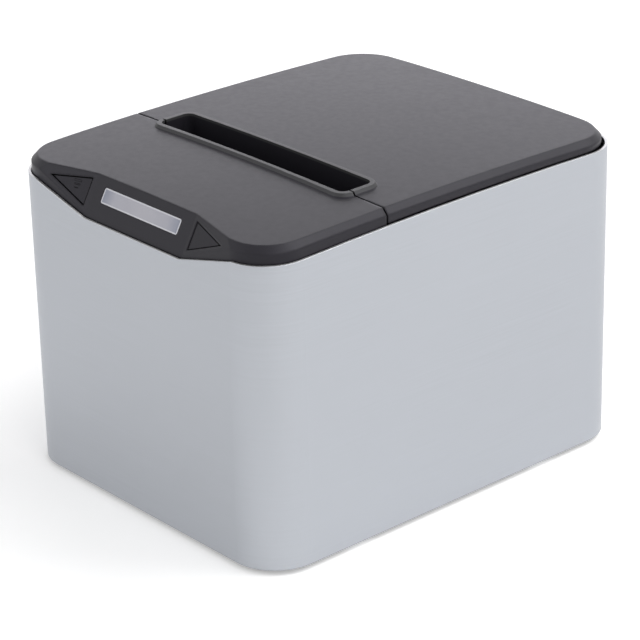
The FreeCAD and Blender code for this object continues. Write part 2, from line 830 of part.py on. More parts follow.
def window_block(grow, n0, n1):
    half = WINDOW_LENGTH / 2 + grow
    high = WINDOW_HEIGHT / 2 + grow
    block = facet_box(-half, half, -high - WINDOW_RISE, high - WINDOW_RISE, n0, n1)
    across = [edge for edge in block.Edges
              if abs(edge.tangentAt(edge.FirstParameter).dot(facet_normal())) > 0.9]
    return block.makeFillet(WINDOW_CORNER + grow, across)


def front_cover():
    shell = bevelled_lid().common(front_half()).cut(facet_cutter(0.0)).cut(front_void(0.0))
    cover = shell.fuse(slot_body().common(front_half())).cut(slot_void())
    for x, y in lug_places():
        boss = rod_z(COVER_BOSS_RADIUS, CASE_TOP, CREST_HEIGHT, x, y).common(dome_ball(COVER_WALL / 2))
        cover = cover.fuse(boss)
        cover = cover.cut(rod_z(SCREW_RADIUS + SCREW_CLEARANCE, CASE_TOP - CUT_PAST,
                                CASE_TOP + COVER_HOLE_HEIGHT, x, y))
    for side in (-1, 1):
        hole = slab(inset_triangle(side, BUTTON_INSET), wing_normal(side), -3 * COVER_WALL, COVER_WALL)
        cover = cover.cut(hole)
    return cover.cut(window_block(WINDOW_FIT, -3 * COVER_WALL, COVER_WALL)).removeSplitter()


def front_cover_screws():
    tip = CASE_TOP + COVER_SCREW_HEIGHT
    return [screw(x, y, CASE_TOP - LUG_THICKNESS, tip) for x, y in lug_places()]


def status_window():
    return window_block(0.0, -COVER_WALL - WINDOW_STEP, 0.0)


def light_guide():
    half = WINDOW_LENGTH / 2 - GUIDE_INSET
    return facet_box(-half, half, -WINDOW_RISE - GUIDE_HALF, -WINDOW_RISE + GUIDE_HALF,
                     -GUIDE_DEPTH, -COVER_WALL - WINDOW_STEP)


def switch_place():
    """Where the feed button's line of travel meets the panel board."""
    centre, _ = triangle_centre(wing_corners(-1))
    start = (centre - facet_middle()).dot(facet_normal())
    along = wing_normal(-1).dot(facet_normal())
    reach = (start + GUIDE_DEPTH) / along
    return centre - wing_normal(-1) * reach


def panel_board():
    place = switch_place() - facet_middle()
    left = place.x - PANEL_BOARD_END
    right = WINDOW_LENGTH / 2 + PANEL_BOARD_HALF
    middle = place.dot(facet_down())
    low = max(middle + PANEL_BOARD_HALF, PANEL_BOARD_LOW)
    high = min(middle - PANEL_BOARD_HALF, PANEL_BOARD_HIGH)
    return facet_box(left, right, high, low, -GUIDE_DEPTH - BOARD, -GUIDE_DEPTH)


def feed_switch():
    place = switch_place() - facet_middle()
    middle = place.dot(facet_down())
    half = SWITCH_BODY_HALF
    body = facet_box(place.x - half, place.x + half, middle - half, middle + half,
                     -GUIDE_DEPTH, -GUIDE_DEPTH + SWITCH_HEIGHT)
    key = Part.makeCylinder(SWITCH_KEY_RADIUS, SWITCH_HEIGHT + SWITCH_KEY, switch_place(), facet_normal())
    return fuse([body, key])


def button(side, stem_end, stem_radius):
    """A triangular cap in the wing, a flange that keeps it in, and a stem down to stem_end."""
    normal = wing_normal(side)
    centre, _ = triangle_centre(wing_corners(side))
    seat = COVER_WALL + BUTTON_PLAY
    cap = slab(inset_triangle(side, BUTTON_INSET + BUTTON_GAP), normal, -seat - BUTTON_ROOT, -BUTTON_SINK)
    flange = slab(inset_triangle(side, BUTTON_INSET - BUTTON_FLANGE), normal,
                  -seat - BUTTON_FLANGE_THICKNESS, -seat)
    flange = flange.common(front_void(BUTTON_GAP))
    stem = Part.makeCylinder(stem_radius, stem_end - seat, centre - normal * stem_end, normal)
    return fuse([cap, flange, stem])


def feed_button():
    centre, _ = triangle_centre(wing_corners(-1))
    to_board = (centre - switch_place()).Length
    stem_end = to_board - SWITCH_HEIGHT - SWITCH_KEY - FEED_TRAVEL - FEED_SLACK
    return button(-1, stem_end, FEED_STEM_RADIUS)


def open_button():
    """The right button, whose stem is cut square to the latch tab that it pushes."""
    stem = button(1, OPEN_STEM + OPEN_STEM_SPARE, OPEN_STEM_RADIUS)
    end = latch_tab_face() - OPEN_STEM_GAP
    return stem.cut(box(-BODY_WIDTH, BODY_WIDTH, end, BODY_DEPTH, 0, 2 * CREST_HEIGHT))


def latch_tab_face():
    centre, _ = triangle_centre(wing_corners(1))
    return (centre - wing_normal(1) * OPEN_STEM).y


# Rear cover, hinge and what the lid carries

def hinge_z():
    outer = EAR_INNER + 2 * EAR_WIDTH + HINGE_SIDE_GAP
    return dome_height(outer, HINGE_Y, COVER_WALL) - KNUCKLE_RADIUS - KNUCKLE_GAP


def carrier_top():
    return CREST_HEIGHT - CARRIER_TOP_DROP


def carrier_screw_places():
    x = ARM_INNER - CARRIER_SCREW_INSET
    return [(sx * x, PLATEN_Y + offset) for sx in (-1, 1) for offset in CARRIER_SCREW_OFFSETS]


def hinge_ear(side):
    x0, x1 = span(side, EAR_INNER, EAR_INNER + EAR_WIDTH)
    z = hinge_z()
    block = box(x0, x1, HINGE_Y - KNUCKLE_RADIUS, HINGE_Y + KNUCKLE_RADIUS, z, CREST_HEIGHT)
    ear = rod_x(KNUCKLE_RADIUS, x0, x1, HINGE_Y, z).fuse(block.common(dome_ball(COVER_WALL / 2)))
    return ear.cut(rod_x(PIN_RADIUS + RUNNING_GAP, x0 - CUT_PAST, x1 + CUT_PAST, HINGE_Y, z))


def lid_ribs():
    first = SLOT_FRONT + SLOT_WIDTH + WELL_WALL + RIB_LEAD
    last = HINGE_Y - RIB_END
    ribs = [box(-ARM_INNER, ARM_INNER, y, y + RIB, WELL_FLOOR, CREST_HEIGHT)
            for y in (first, (first + last) / 2, last)]
    ribs += [box(x - RIB / 2, x + RIB / 2, first, last, WELL_FLOOR, CREST_HEIGHT)
             for x in (-RIB_SPREAD, RIB_SPREAD)]
    ball = dome_ball(COVER_WALL + RIB_HEIGHT)
    return [rib.common(dome_ball(COVER_WALL / 2)).cut(ball) for rib in ribs]


def rear_cover():
    void = lid_block(COVER_WALL, COVER_WALL, SKIRT_BOTTOM - CUT_PAST)
    shell = bevelled_lid().common(rear_half()).cut(void)
    shell = shell.cut(edge_ball(SLEEVE_DROP - EDGE_GAP))
    cover = shell.fuse(slot_body().common(rear_half())).cut(slot_void())
    roof = dome_ball(COVER_WALL / 2)
    bosses = [rod_z(CARRIER_BOSS_RADIUS, carrier_top(), CREST_HEIGHT, x, y).common(roof)
              for x, y in carrier_screw_places()]
    cover = fuse([cover] + both_sides(hinge_ear) + lid_ribs() + bosses)
    for x, y in carrier_screw_places():
        end = carrier_top() + CARRIER_HOLE_HEIGHT
        cover = cover.cut(rod_z(SCREW_RADIUS + SCREW_CLEARANCE, carrier_top() - CUT_PAST, end, x, y))
    return cover


def hinge_bracket(side):
    inner = EAR_INNER + EAR_WIDTH + BRACKET_SIDE_GAP
    x0, x1 = span(side, inner, inner + EAR_WIDTH)
    z = hinge_z()
    wall = CASE_HALF_Y - CASE_WALL
    low = CASE_TOP - BRACKET_HANG
    front = HINGE_Y - BRACKET_DEPTH
    neck = HINGE_Y - NECK_SETBACK
    outline = [(HINGE_Y - KNUCKLE_RADIUS, z), (HINGE_Y, z - KNUCKLE_RADIUS),
               (neck, z - 2 * KNUCKLE_RADIUS), (neck, CASE_TOP + NECK_FOOT), (wall, CASE_TOP - WALL_DROP),
               (wall, low), (front, low), (front, z - BRACKET_FRONT_DROP)]
    knuckle = rod_x(KNUCKLE_RADIUS, x0, x1, HINGE_Y, z)
    bracket = fuse([prism_yz(outline, x0, x1), knuckle]).common(case_space())
    return bracket.cut(rod_x(PIN_RADIUS + SCREW_CLEARANCE, x0 - CUT_PAST, x1 + CUT_PAST, HINGE_Y, z))


def hinge_pin(side):
    inner = EAR_INNER + PIN_INSET
    x0, x1 = span(side, inner, inner + 2 * EAR_WIDTH)
    return rod_x(PIN_RADIUS, x0, x1, HINGE_Y, hinge_z())


def cutting_edge():
    """Where the fixed blade's front edge meets the paper."""
    return PLATEN_Y - CUT_LEAD


def fixed_blade_top():
    return DECK_Z + DECK


def blade_ledge():
    """Height of the carrier's ledge that the fixed blade lies on."""
    return fixed_blade_top() - FIXED_BLADE


def blade_screw_places():
    x = ARM_INNER - BLADE_SCREW_INSET
    return [(side * x, PLATEN_Y + BLADE_SCREW_SETBACK) for side in (-1, 1)]


def carrier_front():
    """Front of the carrier's roof, behind the well."""
    return SLOT_FRONT + SLOT_WIDTH + WELL_WALL + WELL_CLEARANCE


def carrier_arm(side):
    x0, x1 = span(side, ARM_INNER, ARM_OUTER)
    ledge = blade_ledge()
    foot = PLATEN_Z - ARM_FOOT_DROP
    under_well = WELL_FLOOR - WELL_WALL - WELL_CLEARANCE
    outline = [(PLATEN_Y - ARM_FOOT_HALF, foot), (PLATEN_Y + ARM_FOOT_HALF, foot),
               (PLATEN_Y + ARM_WAIST, ledge), (PLATEN_Y + CARRIER_BACK, carrier_top()),
               (carrier_front(), carrier_top()), (carrier_front(), under_well),
               (PLATEN_Y - ARM_LEAD, under_well)]
    return prism_yz(outline, x0, x1)


def platen_carrier():
    roof = box(-ARM_OUTER, ARM_OUTER, carrier_front(), PLATEN_Y + CARRIER_BACK,
               carrier_top() - PLATE, carrier_top())
    ledge = blade_ledge()
    shelf = box(-ARM_OUTER, ARM_OUTER, PLATEN_Y - SHELF_FRONT, PLATEN_Y + SHELF_BACK,
                ledge - PLATE, ledge)
    carrier = fuse(both_sides(carrier_arm) + [roof, shelf])
    carrier = carrier.cut(rod_x(BUSH_RADIUS + SCREW_CLEARANCE, -BODY_WIDTH, BODY_WIDTH, PLATEN_Y, PLATEN_Z))
    for x, y in carrier_screw_places():
        carrier = carrier.cut(rod_z(SCREW_RADIUS + HOLE_PLAY, carrier_top() - 2 * PLATE,
                                    carrier_top() + CUT_PAST, x, y))
    for x, y in blade_screw_places():
        carrier = carrier.cut(rod_z(SCREW_RADIUS + SCREW_CLEARANCE, ledge - 2 * PLATE,
                                    ledge + CUT_PAST, x, y))
    return carrier


def carrier_screws():
    seat = carrier_top() - PLATE
    tip = carrier_top() + CARRIER_SCREW_HEIGHT
    return [screw(x, y, seat, tip) for x, y in carrier_screw_places()]


def fixed_blade():
    """A ground steel strip whose front edge is the cutting edge."""
    top = fixed_blade_top()
    ledge = blade_ledge()
    edge = cutting_edge()
    back = PLATEN_Y + FIXED_BLADE_BACK
    outline = [(edge, top), (back, top), (back, ledge), (edge + GROUND_SLOPE, ledge)]
    half = ARM_INNER - BLADE_SIDE_GAP
    blade = prism_yz(outline, -half, half)
    for x, y in blade_screw_places():
        blade = blade.cut(rod_z(SCREW_RADIUS + HOLE_PLAY, ledge - CUT_PAST, top + CUT_PAST, x, y))
    return blade


def blade_screws():
    return [screw(x, y, fixed_blade_top(), blade_ledge() - PLATE) for x, y in blade_screw_places()]


def platen_bush(side):
    x0, x1 = span(side, ARM_INNER, BUSH_END)
    bush = rod_x(BUSH_RADIUS, x0, x1, PLATEN_Y, PLATEN_Z)
    x0, x1 = span(side, ARM_INNER - BUSH_FLANGE, ARM_INNER)
    bush = fuse([bush, rod_x(BUSH_RADIUS + BUSH_FLANGE_RISE, x0, x1, PLATEN_Y, PLATEN_Z)])
    return bush.cut(rod_x(PLATEN_SHAFT_RADIUS + RUNNING_GAP, -BODY_WIDTH, BODY_WIDTH, PLATEN_Y, PLATEN_Z))


def platen_roller():
    half = PAPER_WIDTH / 2 + ROLLER_OVERHANG
    roller = rod_x(PLATEN_RADIUS, -half, half, PLATEN_Y, PLATEN_Z)
    return roller.cut(rod_x(PLATEN_SHAFT_RADIUS + PRESS_FIT, -half - CUT_PAST, half + CUT_PAST,
                            PLATEN_Y, PLATEN_Z))


def platen_shaft():
    return rod_x(PLATEN_SHAFT_RADIUS, -GEAR_X - GEAR_WIDTH, BUSH_END, PLATEN_Y, PLATEN_Z)


# Gears

def involute(angle):
    return math.tan(angle) - angle


def tooth_points(teeth):
    """Radius and half angle of a tooth's flank: at its foot, its middle and its tip."""
    pitch = MODULE * teeth / 2
    pressure = math.radians(PRESSURE_ANGLE)
    base = pitch * math.cos(pressure)
    tip = pitch + ADDENDUM * MODULE
    foot = max(base, pitch - DEDENDUM * MODULE)
    half = math.pi / (2 * teeth) - BACKLASH / (2 * pitch)
    points = []
    for radius in (foot, (foot + tip) / 2, tip):
        angle = half + involute(pressure) - involute(math.acos(min(1.0, base / radius)))
        points.append((radius, angle))
    return points


def gear(teeth, place, axis, width, phase):
    """An involute spur gear: axis is X or Z, phase is the angle of the middle of one tooth."""
    def point(radius, angle):
        a = radius * math.cos(angle)
        b = radius * math.sin(angle)
        return place + (Vector(0, a, b) if axis.x else Vector(a, b, 0))

    root = MODULE * (teeth / 2 - DEDENDUM)
    foot, middle, tip = tooth_points(teeth)
    pitch_angle = 2 * math.pi / teeth
    edges = []
    for tooth in range(teeth):
        mid = phase + tooth * pitch_angle
        gap = mid + pitch_angle / 2
        after = mid + pitch_angle
        for way in (-1, 1):
            flank = [point(radius, mid + way * angle) for radius, angle in (foot, middle, tip)]
            edges.append(Part.Arc(*flank).toShape())
            if foot[0] > root:
                edges.append(Part.makeLine(point(root, mid + way * foot[1]), flank[0]))
        land = Part.Arc(point(tip[0], mid - tip[1]), point(tip[0], mid), point(tip[0], mid + tip[1]))
        valley = Part.Arc(point(root, mid + foot[1]), point(root, gap), point(root, after - foot[1]))
        edges += [land.toShape(), valley.toShape()]
    face = Part.Face(Part.Wire(Part.__sortEdges__(edges)))
    return face.extrude(axis * width)


def mesh_distance(first, second):
    return MODULE * (first + second) / 2 + MESH_GAP


def mesh_angle():
    """From the platen down to the reduction gear, in line with the way the lid lifts the platen out."""
    return math.atan2(PLATEN_Y - HINGE_Y, hinge_z() - PLATEN_Z)


def reduction_centre():
    reach = mesh_distance(PLATEN_TEETH, SMALL_TEETH)
    return PLATEN_Y + reach * math.cos(mesh_angle()), PLATEN_Z + reach * math.sin(mesh_angle())


def motor_centre():
    y, z = reduction_centre()
    reach = mesh_distance(LARGE_TEETH, SMALL_TEETH)
    return y + reach * math.cos(DRIVE_ANGLE), z + reach * math.sin(DRIVE_ANGLE)


X_AXIS = Vector(1, 0, 0)
Z_AXIS = Vector(0, 0, 1)


def platen_gear():
    place = Vector(-GEAR_X - GEAR_WIDTH, PLATEN_Y, PLATEN_Z)
    wheel = gear(PLATEN_TEETH, place, X_AXIS, GEAR_WIDTH, mesh_angle())
    return wheel.cut(rod_x(PLATEN_SHAFT_RADIUS + PRESS_FIT, -BODY_WIDTH, 0, PLATEN_Y, PLATEN_Z))


def reduction_gear():
    y, z = reduction_centre()
    facing = mesh_angle() + math.pi
    small = gear(SMALL_TEETH, Vector(-GEAR_X - GEAR_WIDTH, y, z), X_AXIS, GEAR_WIDTH,
                 facing + math.pi / SMALL_TEETH)
    large = gear(LARGE_TEETH, Vector(-LARGE_X - GEAR_WIDTH, y, z), X_AXIS, GEAR_WIDTH, DRIVE_ANGLE)
    hub = rod_x(MODULE * (SMALL_TEETH / 2 - DEDENDUM), -LARGE_X, -GEAR_X - GEAR_WIDTH, y, z)
    wheel = fuse([small, hub, large])
    return wheel.cut(rod_x(STUD_RADIUS + RUNNING_GAP, -BODY_WIDTH, 0, y, z))


def gear_stud():
    y, z = reduction_centre()
    end = -LARGE_X - GEAR_WIDTH - STUD_END_GAP
    stud = rod_x(STUD_RADIUS, end, -PLATE_X, y, z)
    head = rod_x(STUD_RADIUS + STUD_HEAD_RISE, end - STUD_HEAD, end, y, z)
    collar = rod_x(STUD_RADIUS + STUD_COLLAR_RISE, -GEAR_X + STUD_END_GAP, -PLATE_X - PLATE, y, z)
    return fuse([stud, head, collar])


def motor_pinion():
    y, z = motor_centre()
    facing = DRIVE_ANGLE + math.pi
    wheel = gear(SMALL_TEETH, Vector(-LARGE_X - GEAR_WIDTH, y, z), X_AXIS, GEAR_WIDTH,
                 facing + math.pi / SMALL_TEETH)
    return wheel.cut(rod_x(MOTOR_SHAFT_RADIUS + PRESS_FIT, -BODY_WIDTH, 0, y, z))


def motor_shaft():
    y, z = motor_centre()
    return rod_x(MOTOR_SHAFT_RADIUS, -LARGE_X - GEAR_WIDTH, -PLATE_X + MOTOR_LENGTH / 2, y, z)


def feed_motor():
    y, z = motor_centre()
    body = rod_x(MOTOR_RADIUS, -PLATE_X, -PLATE_X + MOTOR_LENGTH, y, z)
    boss = rod_x(MOTOR_BOSS_RADIUS, -PLATE_X - PLATE, -PLATE_X, y, z)
    back = -PLATE_X + MOTOR_LENGTH
    cap = rod_x(MOTOR_RADIUS - MOTOR_CAP_STEP, back, back + MOTOR_CAP, y, z)
    motor = fuse([body, boss, cap])
    end = -PLATE_X + MOTOR_LENGTH / 2 + MOTOR_SHAFT_SPARE
    return motor.cut(rod_x(MOTOR_SHAFT_RADIUS + RUNNING_GAP, -BODY_WIDTH, end, y, z))


# Chassis and thermal head

def head_point(along, away):
    """A place beside the print line: along follows the paper upwards, away leaves the platen."""
    tilt = math.radians(HEAD_TILT)
    reach = PLATEN_RADIUS + away
    return (PLATEN_Y - reach * math.cos(tilt) - along * math.sin(tilt),
            PLATEN_Z - reach * math.sin(tilt) + along * math.cos(tilt))


def head_block(a0, a1, n0, n1, x0, x1):
    outline = [head_point(a0, n0), head_point(a1, n0), head_point(a1, n1), head_point(a0, n1)]
    return prism_yz(outline, x0, x1)


def head_pivot_place():
    return head_point(*HEAD_PIVOT)


def print_head():
    return head_block(-PRINT_HEAD_HALF, PRINT_HEAD_HALF, HEAD_GAP, SINK_FACE, -HEAD_HALF, HEAD_HALF)


def head_heat_sink():
    return head_block(SINK_LOW, SINK_HIGH, SINK_FACE, BRACKET_FACE, -HEAD_HALF, HEAD_HALF)


def head_bracket():
    half = HEAD_HALF - BRACKET_INSET
    plate = head_block(SINK_LOW, SINK_HIGH, BRACKET_FACE, SPRING_FACE, -half, half)
    y, z = head_pivot_place()
    ears = []
    for side in (-1, 1):
        x0, x1 = span(side, half - BRACKET, half)
        along, away = HEAD_PIVOT
        ears.append(head_block(along - EAR_RADIUS, along + EAR_RADIUS, SPRING_FACE - HEAD_EAR_ROOT, away,
                               x0, x1))
        ears.append(rod_x(EAR_RADIUS, x0, x1, y, z))
    bracket = fuse([plate] + ears)
    return bracket.cut(rod_x(PIVOT_RADIUS + RUNNING_GAP, -BODY_WIDTH, BODY_WIDTH, y, z))


def head_rod():
    y, z = head_pivot_place()
    return rod_x(PIVOT_RADIUS, -PLATE_X - PLATE, PLATE_X + PLATE, y, z)


def spring_bar():
    """Cross bar between the side plates that the head springs push against."""
    seat = SPRING_FACE + SPRING_LENGTH
    return head_block(SPRING_BAR_LOW, SPRING_BAR_HIGH, seat, seat + PLATE, -PLATE_X, PLATE_X)


def biarc(start, start_way, end, end_way):
    """Two arcs that leave start along start_way and reach end along end_way."""
    chord = end - start
    turn = start_way + end_way
    square = 2 * (1 - start_way.dot(end_way))
    reach = (-chord.dot(turn) + math.sqrt(chord.dot(turn) ** 2 + square * chord.dot(chord))) / square
    joint = (start + end + (start_way - end_way) * reach) * 0.5
    edges = []
    for a, b, way in ((start, joint, start_way), (joint, end, end_way)):
        straight = b - a
        side = way - straight * (way.dot(straight) / straight.dot(straight))
        if way is end_way:
            side = side * -1
        half_turn = math.asin(min(1.0, side.Length))
        bulge = side.normalize() * (straight.Length / 2 * math.tan(half_turn / 2))
        edges.append(Part.Arc(a, a + straight * 0.5 + bulge, b).toShape())
    return edges


def coil_spring(name, base, way, length, radius, wire, turns):
    """A helical compression spring of round wire, from base along way."""
    turn = FreeCAD.Rotation(Vector(0, 0, 1), way)
    climb = (length - wire) / turns
    steps = 4 * turns

    def at(step):
        angle = math.pi / 2 * step
        flat = Vector(radius * math.cos(angle), radius * math.sin(angle), wire / 2 + climb * step / 4)
        return base + turn.multVec(flat)

    def heading(step):
        angle = math.pi / 2 * step
        flat = Vector(-radius * math.sin(angle), radius * math.cos(angle), climb / (2 * math.pi))
        return turn.multVec(flat).normalize()

    edges = []
    for step in range(steps):
        edges += biarc(at(step), heading(step), at(step + 1), heading(step + 1))
    profile = Part.Wire(Part.Circle(at(0), heading(0), wire / 2).toShape())
    spring = Part.Wire(edges).makePipeShell([profile], True, False)
    near = min((at(a / 4) - at(b / 4)).Length for a in range(4 * steps) for b in range(a + 8, 4 * steps, 1))
    print(name, "least gap between turns", round(near - wire, 2))
    return spring


def head_springs():
    tilt = math.radians(HEAD_TILT)
    way = Vector(0, -math.cos(tilt), -math.sin(tilt))
    springs = []
    for side in (-1, 1):
        y, z = head_point(SPRING_ALONG, SPRING_FACE)
        springs.append(coil_spring("head spring", Vector(side * SPRING_SPREAD, y, z), way, SPRING_LENGTH,
                                   HEAD_SPRING_RADIUS, HEAD_SPRING_WIRE, HEAD_SPRING_TURNS))
    return springs


def side_plate(side):
    x0, x1 = span(side, PLATE_X, PLATE_X + PLATE)
    step = latch_top()
    top = DECK_Z + PLATE_ABOVE_DECK
    outline = [(PLATE_FRONT, FLOOR), (PLATE_BACK, FLOOR), (PLATE_BACK, step), (PLATE_STEP, step),
               (PLATE_STEP, top), (PLATE_FRONT, top)]
    plate = prism_yz(outline, x0, x1)
    x0, x1 = span(side, PLATE_X, PLATE_X + PLATE + FLANGE)
    flange = box(x0, x1, PLATE_FRONT + FLANGE_INSET, PLATE_BACK - FLANGE_INSET, FLOOR, FLOOR + PLATE)
    plate = fuse([plate, flange])
    for x, y in chassis_screw_places():
        plate = plate.cut(rod_z(SCREW_RADIUS + HOLE_PLAY, FLOOR - CUT_PAST, FLOOR + PLATE + CUT_PAST, x, y))
    y, z = head_pivot_place()
    plate = plate.cut(rod_x(PIVOT_RADIUS + SCREW_CLEARANCE, -BODY_WIDTH, BODY_WIDTH, y, z))
    for y, z in latch_guide_places():
        plate = plate.cut(rod_x(SCREW_RADIUS + SCREW_CLEARANCE, -BODY_WIDTH, BODY_WIDTH, y, z))
    if side < 0:
        y, z = reduction_centre()
        plate = plate.cut(rod_x(STUD_RADIUS + SCREW_CLEARANCE, -BODY_WIDTH, 0, y, z))
        y, z = motor_centre()
        plate = plate.cut(rod_x(MOTOR_BOSS_RADIUS + RUNNING_GAP, -BODY_WIDTH, 0, y, z))
    return plate


def chassis_screws():
    tip = CASE_BOTTOM + SCREW_TIP_GAP
    return [screw(x, y, FLOOR + PLATE, tip) for x, y in chassis_screw_places()]


# Cutter

def blade_bottom():
    return DECK_Z + DECK + SLIDE_GAP


def blade_top():
    return blade_bottom() + BLADE


def deck_back():
    return SEAM_Y - DECK_SETBACK


def cutter_pinion_x():
    return RACK_X + MODULE * SMALL_TEETH / 2 + MESH_GAP


def cutter_deck():
    half = PLATE_X - DECK_SIDE_GAP
    deck = box(-half, half, PLATE_FRONT, deck_back(), DECK_Z, DECK_Z + DECK)
    pieces = [deck]
    lip = blade_top() + SLIDE_GAP
    for side in (-1, 1):
        x0, x1 = span(side, BLADE_HALF + RAIL_GAP, half)
        pieces.append(box(x0, x1, PLATE_FRONT, deck_back(), DECK_Z, lip + RAIL))
        x0, x1 = span(side, BLADE_HALF - RAIL_LIP, half)
        pieces.append(box(x0, x1, PLATE_FRONT, deck_back(), lip, lip + RAIL))
    pieces.append(box(-SPRING_WALL_HALF, SPRING_WALL_HALF, PLATE_FRONT, PLATE_FRONT + DECK,
                      DECK_Z - SPRING_WALL_DROP, DECK_Z + DECK))
    deck = fuse(pieces)
    return deck.cut(rod_z(MOTOR_BOSS_RADIUS + RUNNING_GAP, DECK_Z - CUT_PAST, DECK_Z + DECK + CUT_PAST,
                          cutter_pinion_x(), CUTTER_Y))


def cutter_blade():
    back = cutting_edge() - CUT_STROKE + BLADE_NOTCH + CUT_LAP
    front = back - BLADE_LENGTH
    outline = [(-BLADE_HALF, front), (BLADE_HALF, front), (BLADE_HALF, back), (0, back - BLADE_NOTCH),
               (-BLADE_HALF, back)]
    corners = [Vector(x, y, blade_bottom()) for x, y in outline]
    face = Part.Face(Part.makePolygon(corners + corners[:1]))
    return face.extrude(Vector(0, 0, BLADE))


def rack_tooth(y):
    """One straight-sided tooth that points to the right, with its middle at y."""
    slope = math.tan(math.radians(PRESSURE_ANGLE))
    half = math.pi * MODULE / 4 - BACKLASH / 2
    tip = ADDENDUM * MODULE
    foot = DEDENDUM * MODULE
    outline = [(RACK_X - foot, y - half - foot * slope), (RACK_X + tip, y - half + tip * slope),
               (RACK_X + tip, y + half - tip * slope), (RACK_X - foot, y + half + foot * slope)]
    corners = [Vector(x, place, blade_top()) for x, place in outline]
    face = Part.Face(Part.makePolygon(corners + corners[:1]))
    return face.extrude(Vector(0, 0, RACK_HEIGHT))


def cutter_rack():
    """Plastic bar on the blade, with teeth along its right side."""
    front = PLATE_FRONT + RACK_LEAD
    back = SEAM_Y - RACK_END
    foot = DEDENDUM * MODULE
    bar = box(RACK_X - RACK_BAR, RACK_X - foot + TOOTH_ROOT, front, back,
              blade_top(), blade_top() + RACK_HEIGHT)
    pitch = math.pi * MODULE
    count = int((back - CUTTER_Y) / pitch)
    ahead = int((CUTTER_Y - front) / pitch)
    teeth = [rack_tooth(CUTTER_Y + (n + 0.5) * pitch) for n in range(-ahead, count)]
    return fuse([bar] + teeth)


def cutter_pinion():
    place = Vector(cutter_pinion_x(), CUTTER_Y, blade_top() + PINION_RISE)
    wheel = gear(SMALL_TEETH, place, Z_AXIS, RACK_HEIGHT, math.pi)
    return wheel.cut(rod_z(MOTOR_SHAFT_RADIUS + PRESS_FIT, 0, 2 * CREST_HEIGHT, place.x, place.y))


def cutter_motor():
    x = cutter_pinion_x()
    body = rod_z(CUTTER_MOTOR_RADIUS, DECK_Z - CUTTER_MOTOR_LENGTH, DECK_Z, x, CUTTER_Y)
    boss = rod_z(MOTOR_BOSS_RADIUS, DECK_Z, DECK_Z + DECK, x, CUTTER_Y)
    motor = fuse([body, boss])
    bore_end = DECK_Z - CUTTER_SHAFT_DEPTH - MOTOR_SHAFT_SPARE
    return motor.cut(rod_z(MOTOR_SHAFT_RADIUS + RUNNING_GAP, bore_end, 2 * CREST_HEIGHT, x, CUTTER_Y))


def cutter_shaft():
    top = blade_top() + PINION_RISE + RACK_HEIGHT
    return rod_z(MOTOR_SHAFT_RADIUS, DECK_Z - CUTTER_SHAFT_DEPTH, top, cutter_pinion_x(), CUTTER_Y)


# Latch

def latch_top():
    """Top of the latch bars, and of the side plates behind the platen."""
    return PLATEN_Z - BUSH_RADIUS - LATCH_DROP


def latch_guide_places():
    z = latch_top() - LATCH_HEIGHT / 2
    return [(PLATE_FRONT + offset, z) for offset in GUIDE_OFFSETS]


def latch_bar(side):
    x0, x1 = span(side, LATCH_X, LATCH_X + PLATE)
    top = latch_top()
    hook_low = PLATEN_Z + BUSH_RADIUS + HOOK_GAP
    hook_top = hook_low + HOOK_HEIGHT
    nose = PLATEN_Y + BUSH_RADIUS - HOOK_OVERHANG
    back = PLATEN_Y + BUSH_RADIUS + HOOK_BACK
    post = back + HOOK_POST
    outline = [(LATCH_FRONT, top - LATCH_HEIGHT), (post, top - LATCH_HEIGHT), (post, hook_top),
               (nose + HOOK_LEAD, hook_top), (nose, hook_low + HOOK_NOSE), (nose, hook_low),
               (back, hook_low), (back, top), (LATCH_FRONT, top)]
    bar = prism_yz(outline, x0, x1)
    for y, z in latch_guide_places():
        radius = GUIDE_RADIUS + GUIDE_PLAY
        ends = (y - LATCH_STROKE - GUIDE_END_PLAY, y + GUIDE_END_PLAY)
        bar = bar.cut(box(x0 - CUT_PAST, x1 + CUT_PAST, *ends, z - radius, z + radius))
        for end in ends:
            bar = bar.cut(rod_x(radius, x0 - CUT_PAST, x1 + CUT_PAST, end, z))
    return bar


def latch_slider():
    top = latch_top()
    half = LATCH_X + PLATE
    cross = box(-half, half, LATCH_FRONT, LATCH_FRONT + PLATE, top - LATCH_HEIGHT, top)
    spring_tab = box(-SPRING_TAB_HALF, SPRING_TAB_HALF, LATCH_FRONT, LATCH_FRONT + PLATE,
                     top - TAB_ROOT, DECK_Z - SPRING_TAB_GAP)
    centre, _ = triangle_centre(wing_corners(1))
    place = centre - wing_normal(1) * OPEN_STEM
    face = latch_tab_face()
    left = place.x - PUSH_TAB_INNER
    right = place.x + PUSH_TAB_OUTER
    push_tab = box(left, right, face, face + PLATE, top - TAB_ROOT, place.z + PUSH_TAB_ABOVE)
    foot = box(left, right, min(face, LATCH_FRONT), max(face, LATCH_FRONT) + PLATE, top - PLATE, top)
    return fuse(both_sides(latch_bar) + [cross, spring_tab, push_tab, foot])


def latch_guides():
    guides = []
    for side in (-1, 1):
        for y, z in latch_guide_places():
            x0, x1 = span(side, PLATE_X, PLATE_X + PLATE)
            thread = rod_x(SCREW_RADIUS, x0, x1, y, z)
            seat = LATCH_X + PLATE + GUIDE_SHOULDER
            x0, x1 = span(side, PLATE_X + PLATE, seat)
            shoulder = rod_x(GUIDE_RADIUS, x0, x1, y, z)
            x0, x1 = span(side, seat, seat + GUIDE_HEAD)
            head = rod_x(GUIDE_HEAD_RADIUS, x0, x1, y, z)
            guides.append(fuse([thread, shoulder, head]))
    return guides


def latch_spring():
    start = LATCH_FRONT + PLATE
    base = Vector(0, start, DECK_Z - LATCH_SPRING_DROP)
    return coil_spring("latch spring", base, Vector(0, 1, 0), PLATE_FRONT - start,
                       LATCH_SPRING_RADIUS, LATCH_SPRING_WIRE, LATCH_SPRING_TURNS)


# Paper bucket and sensors

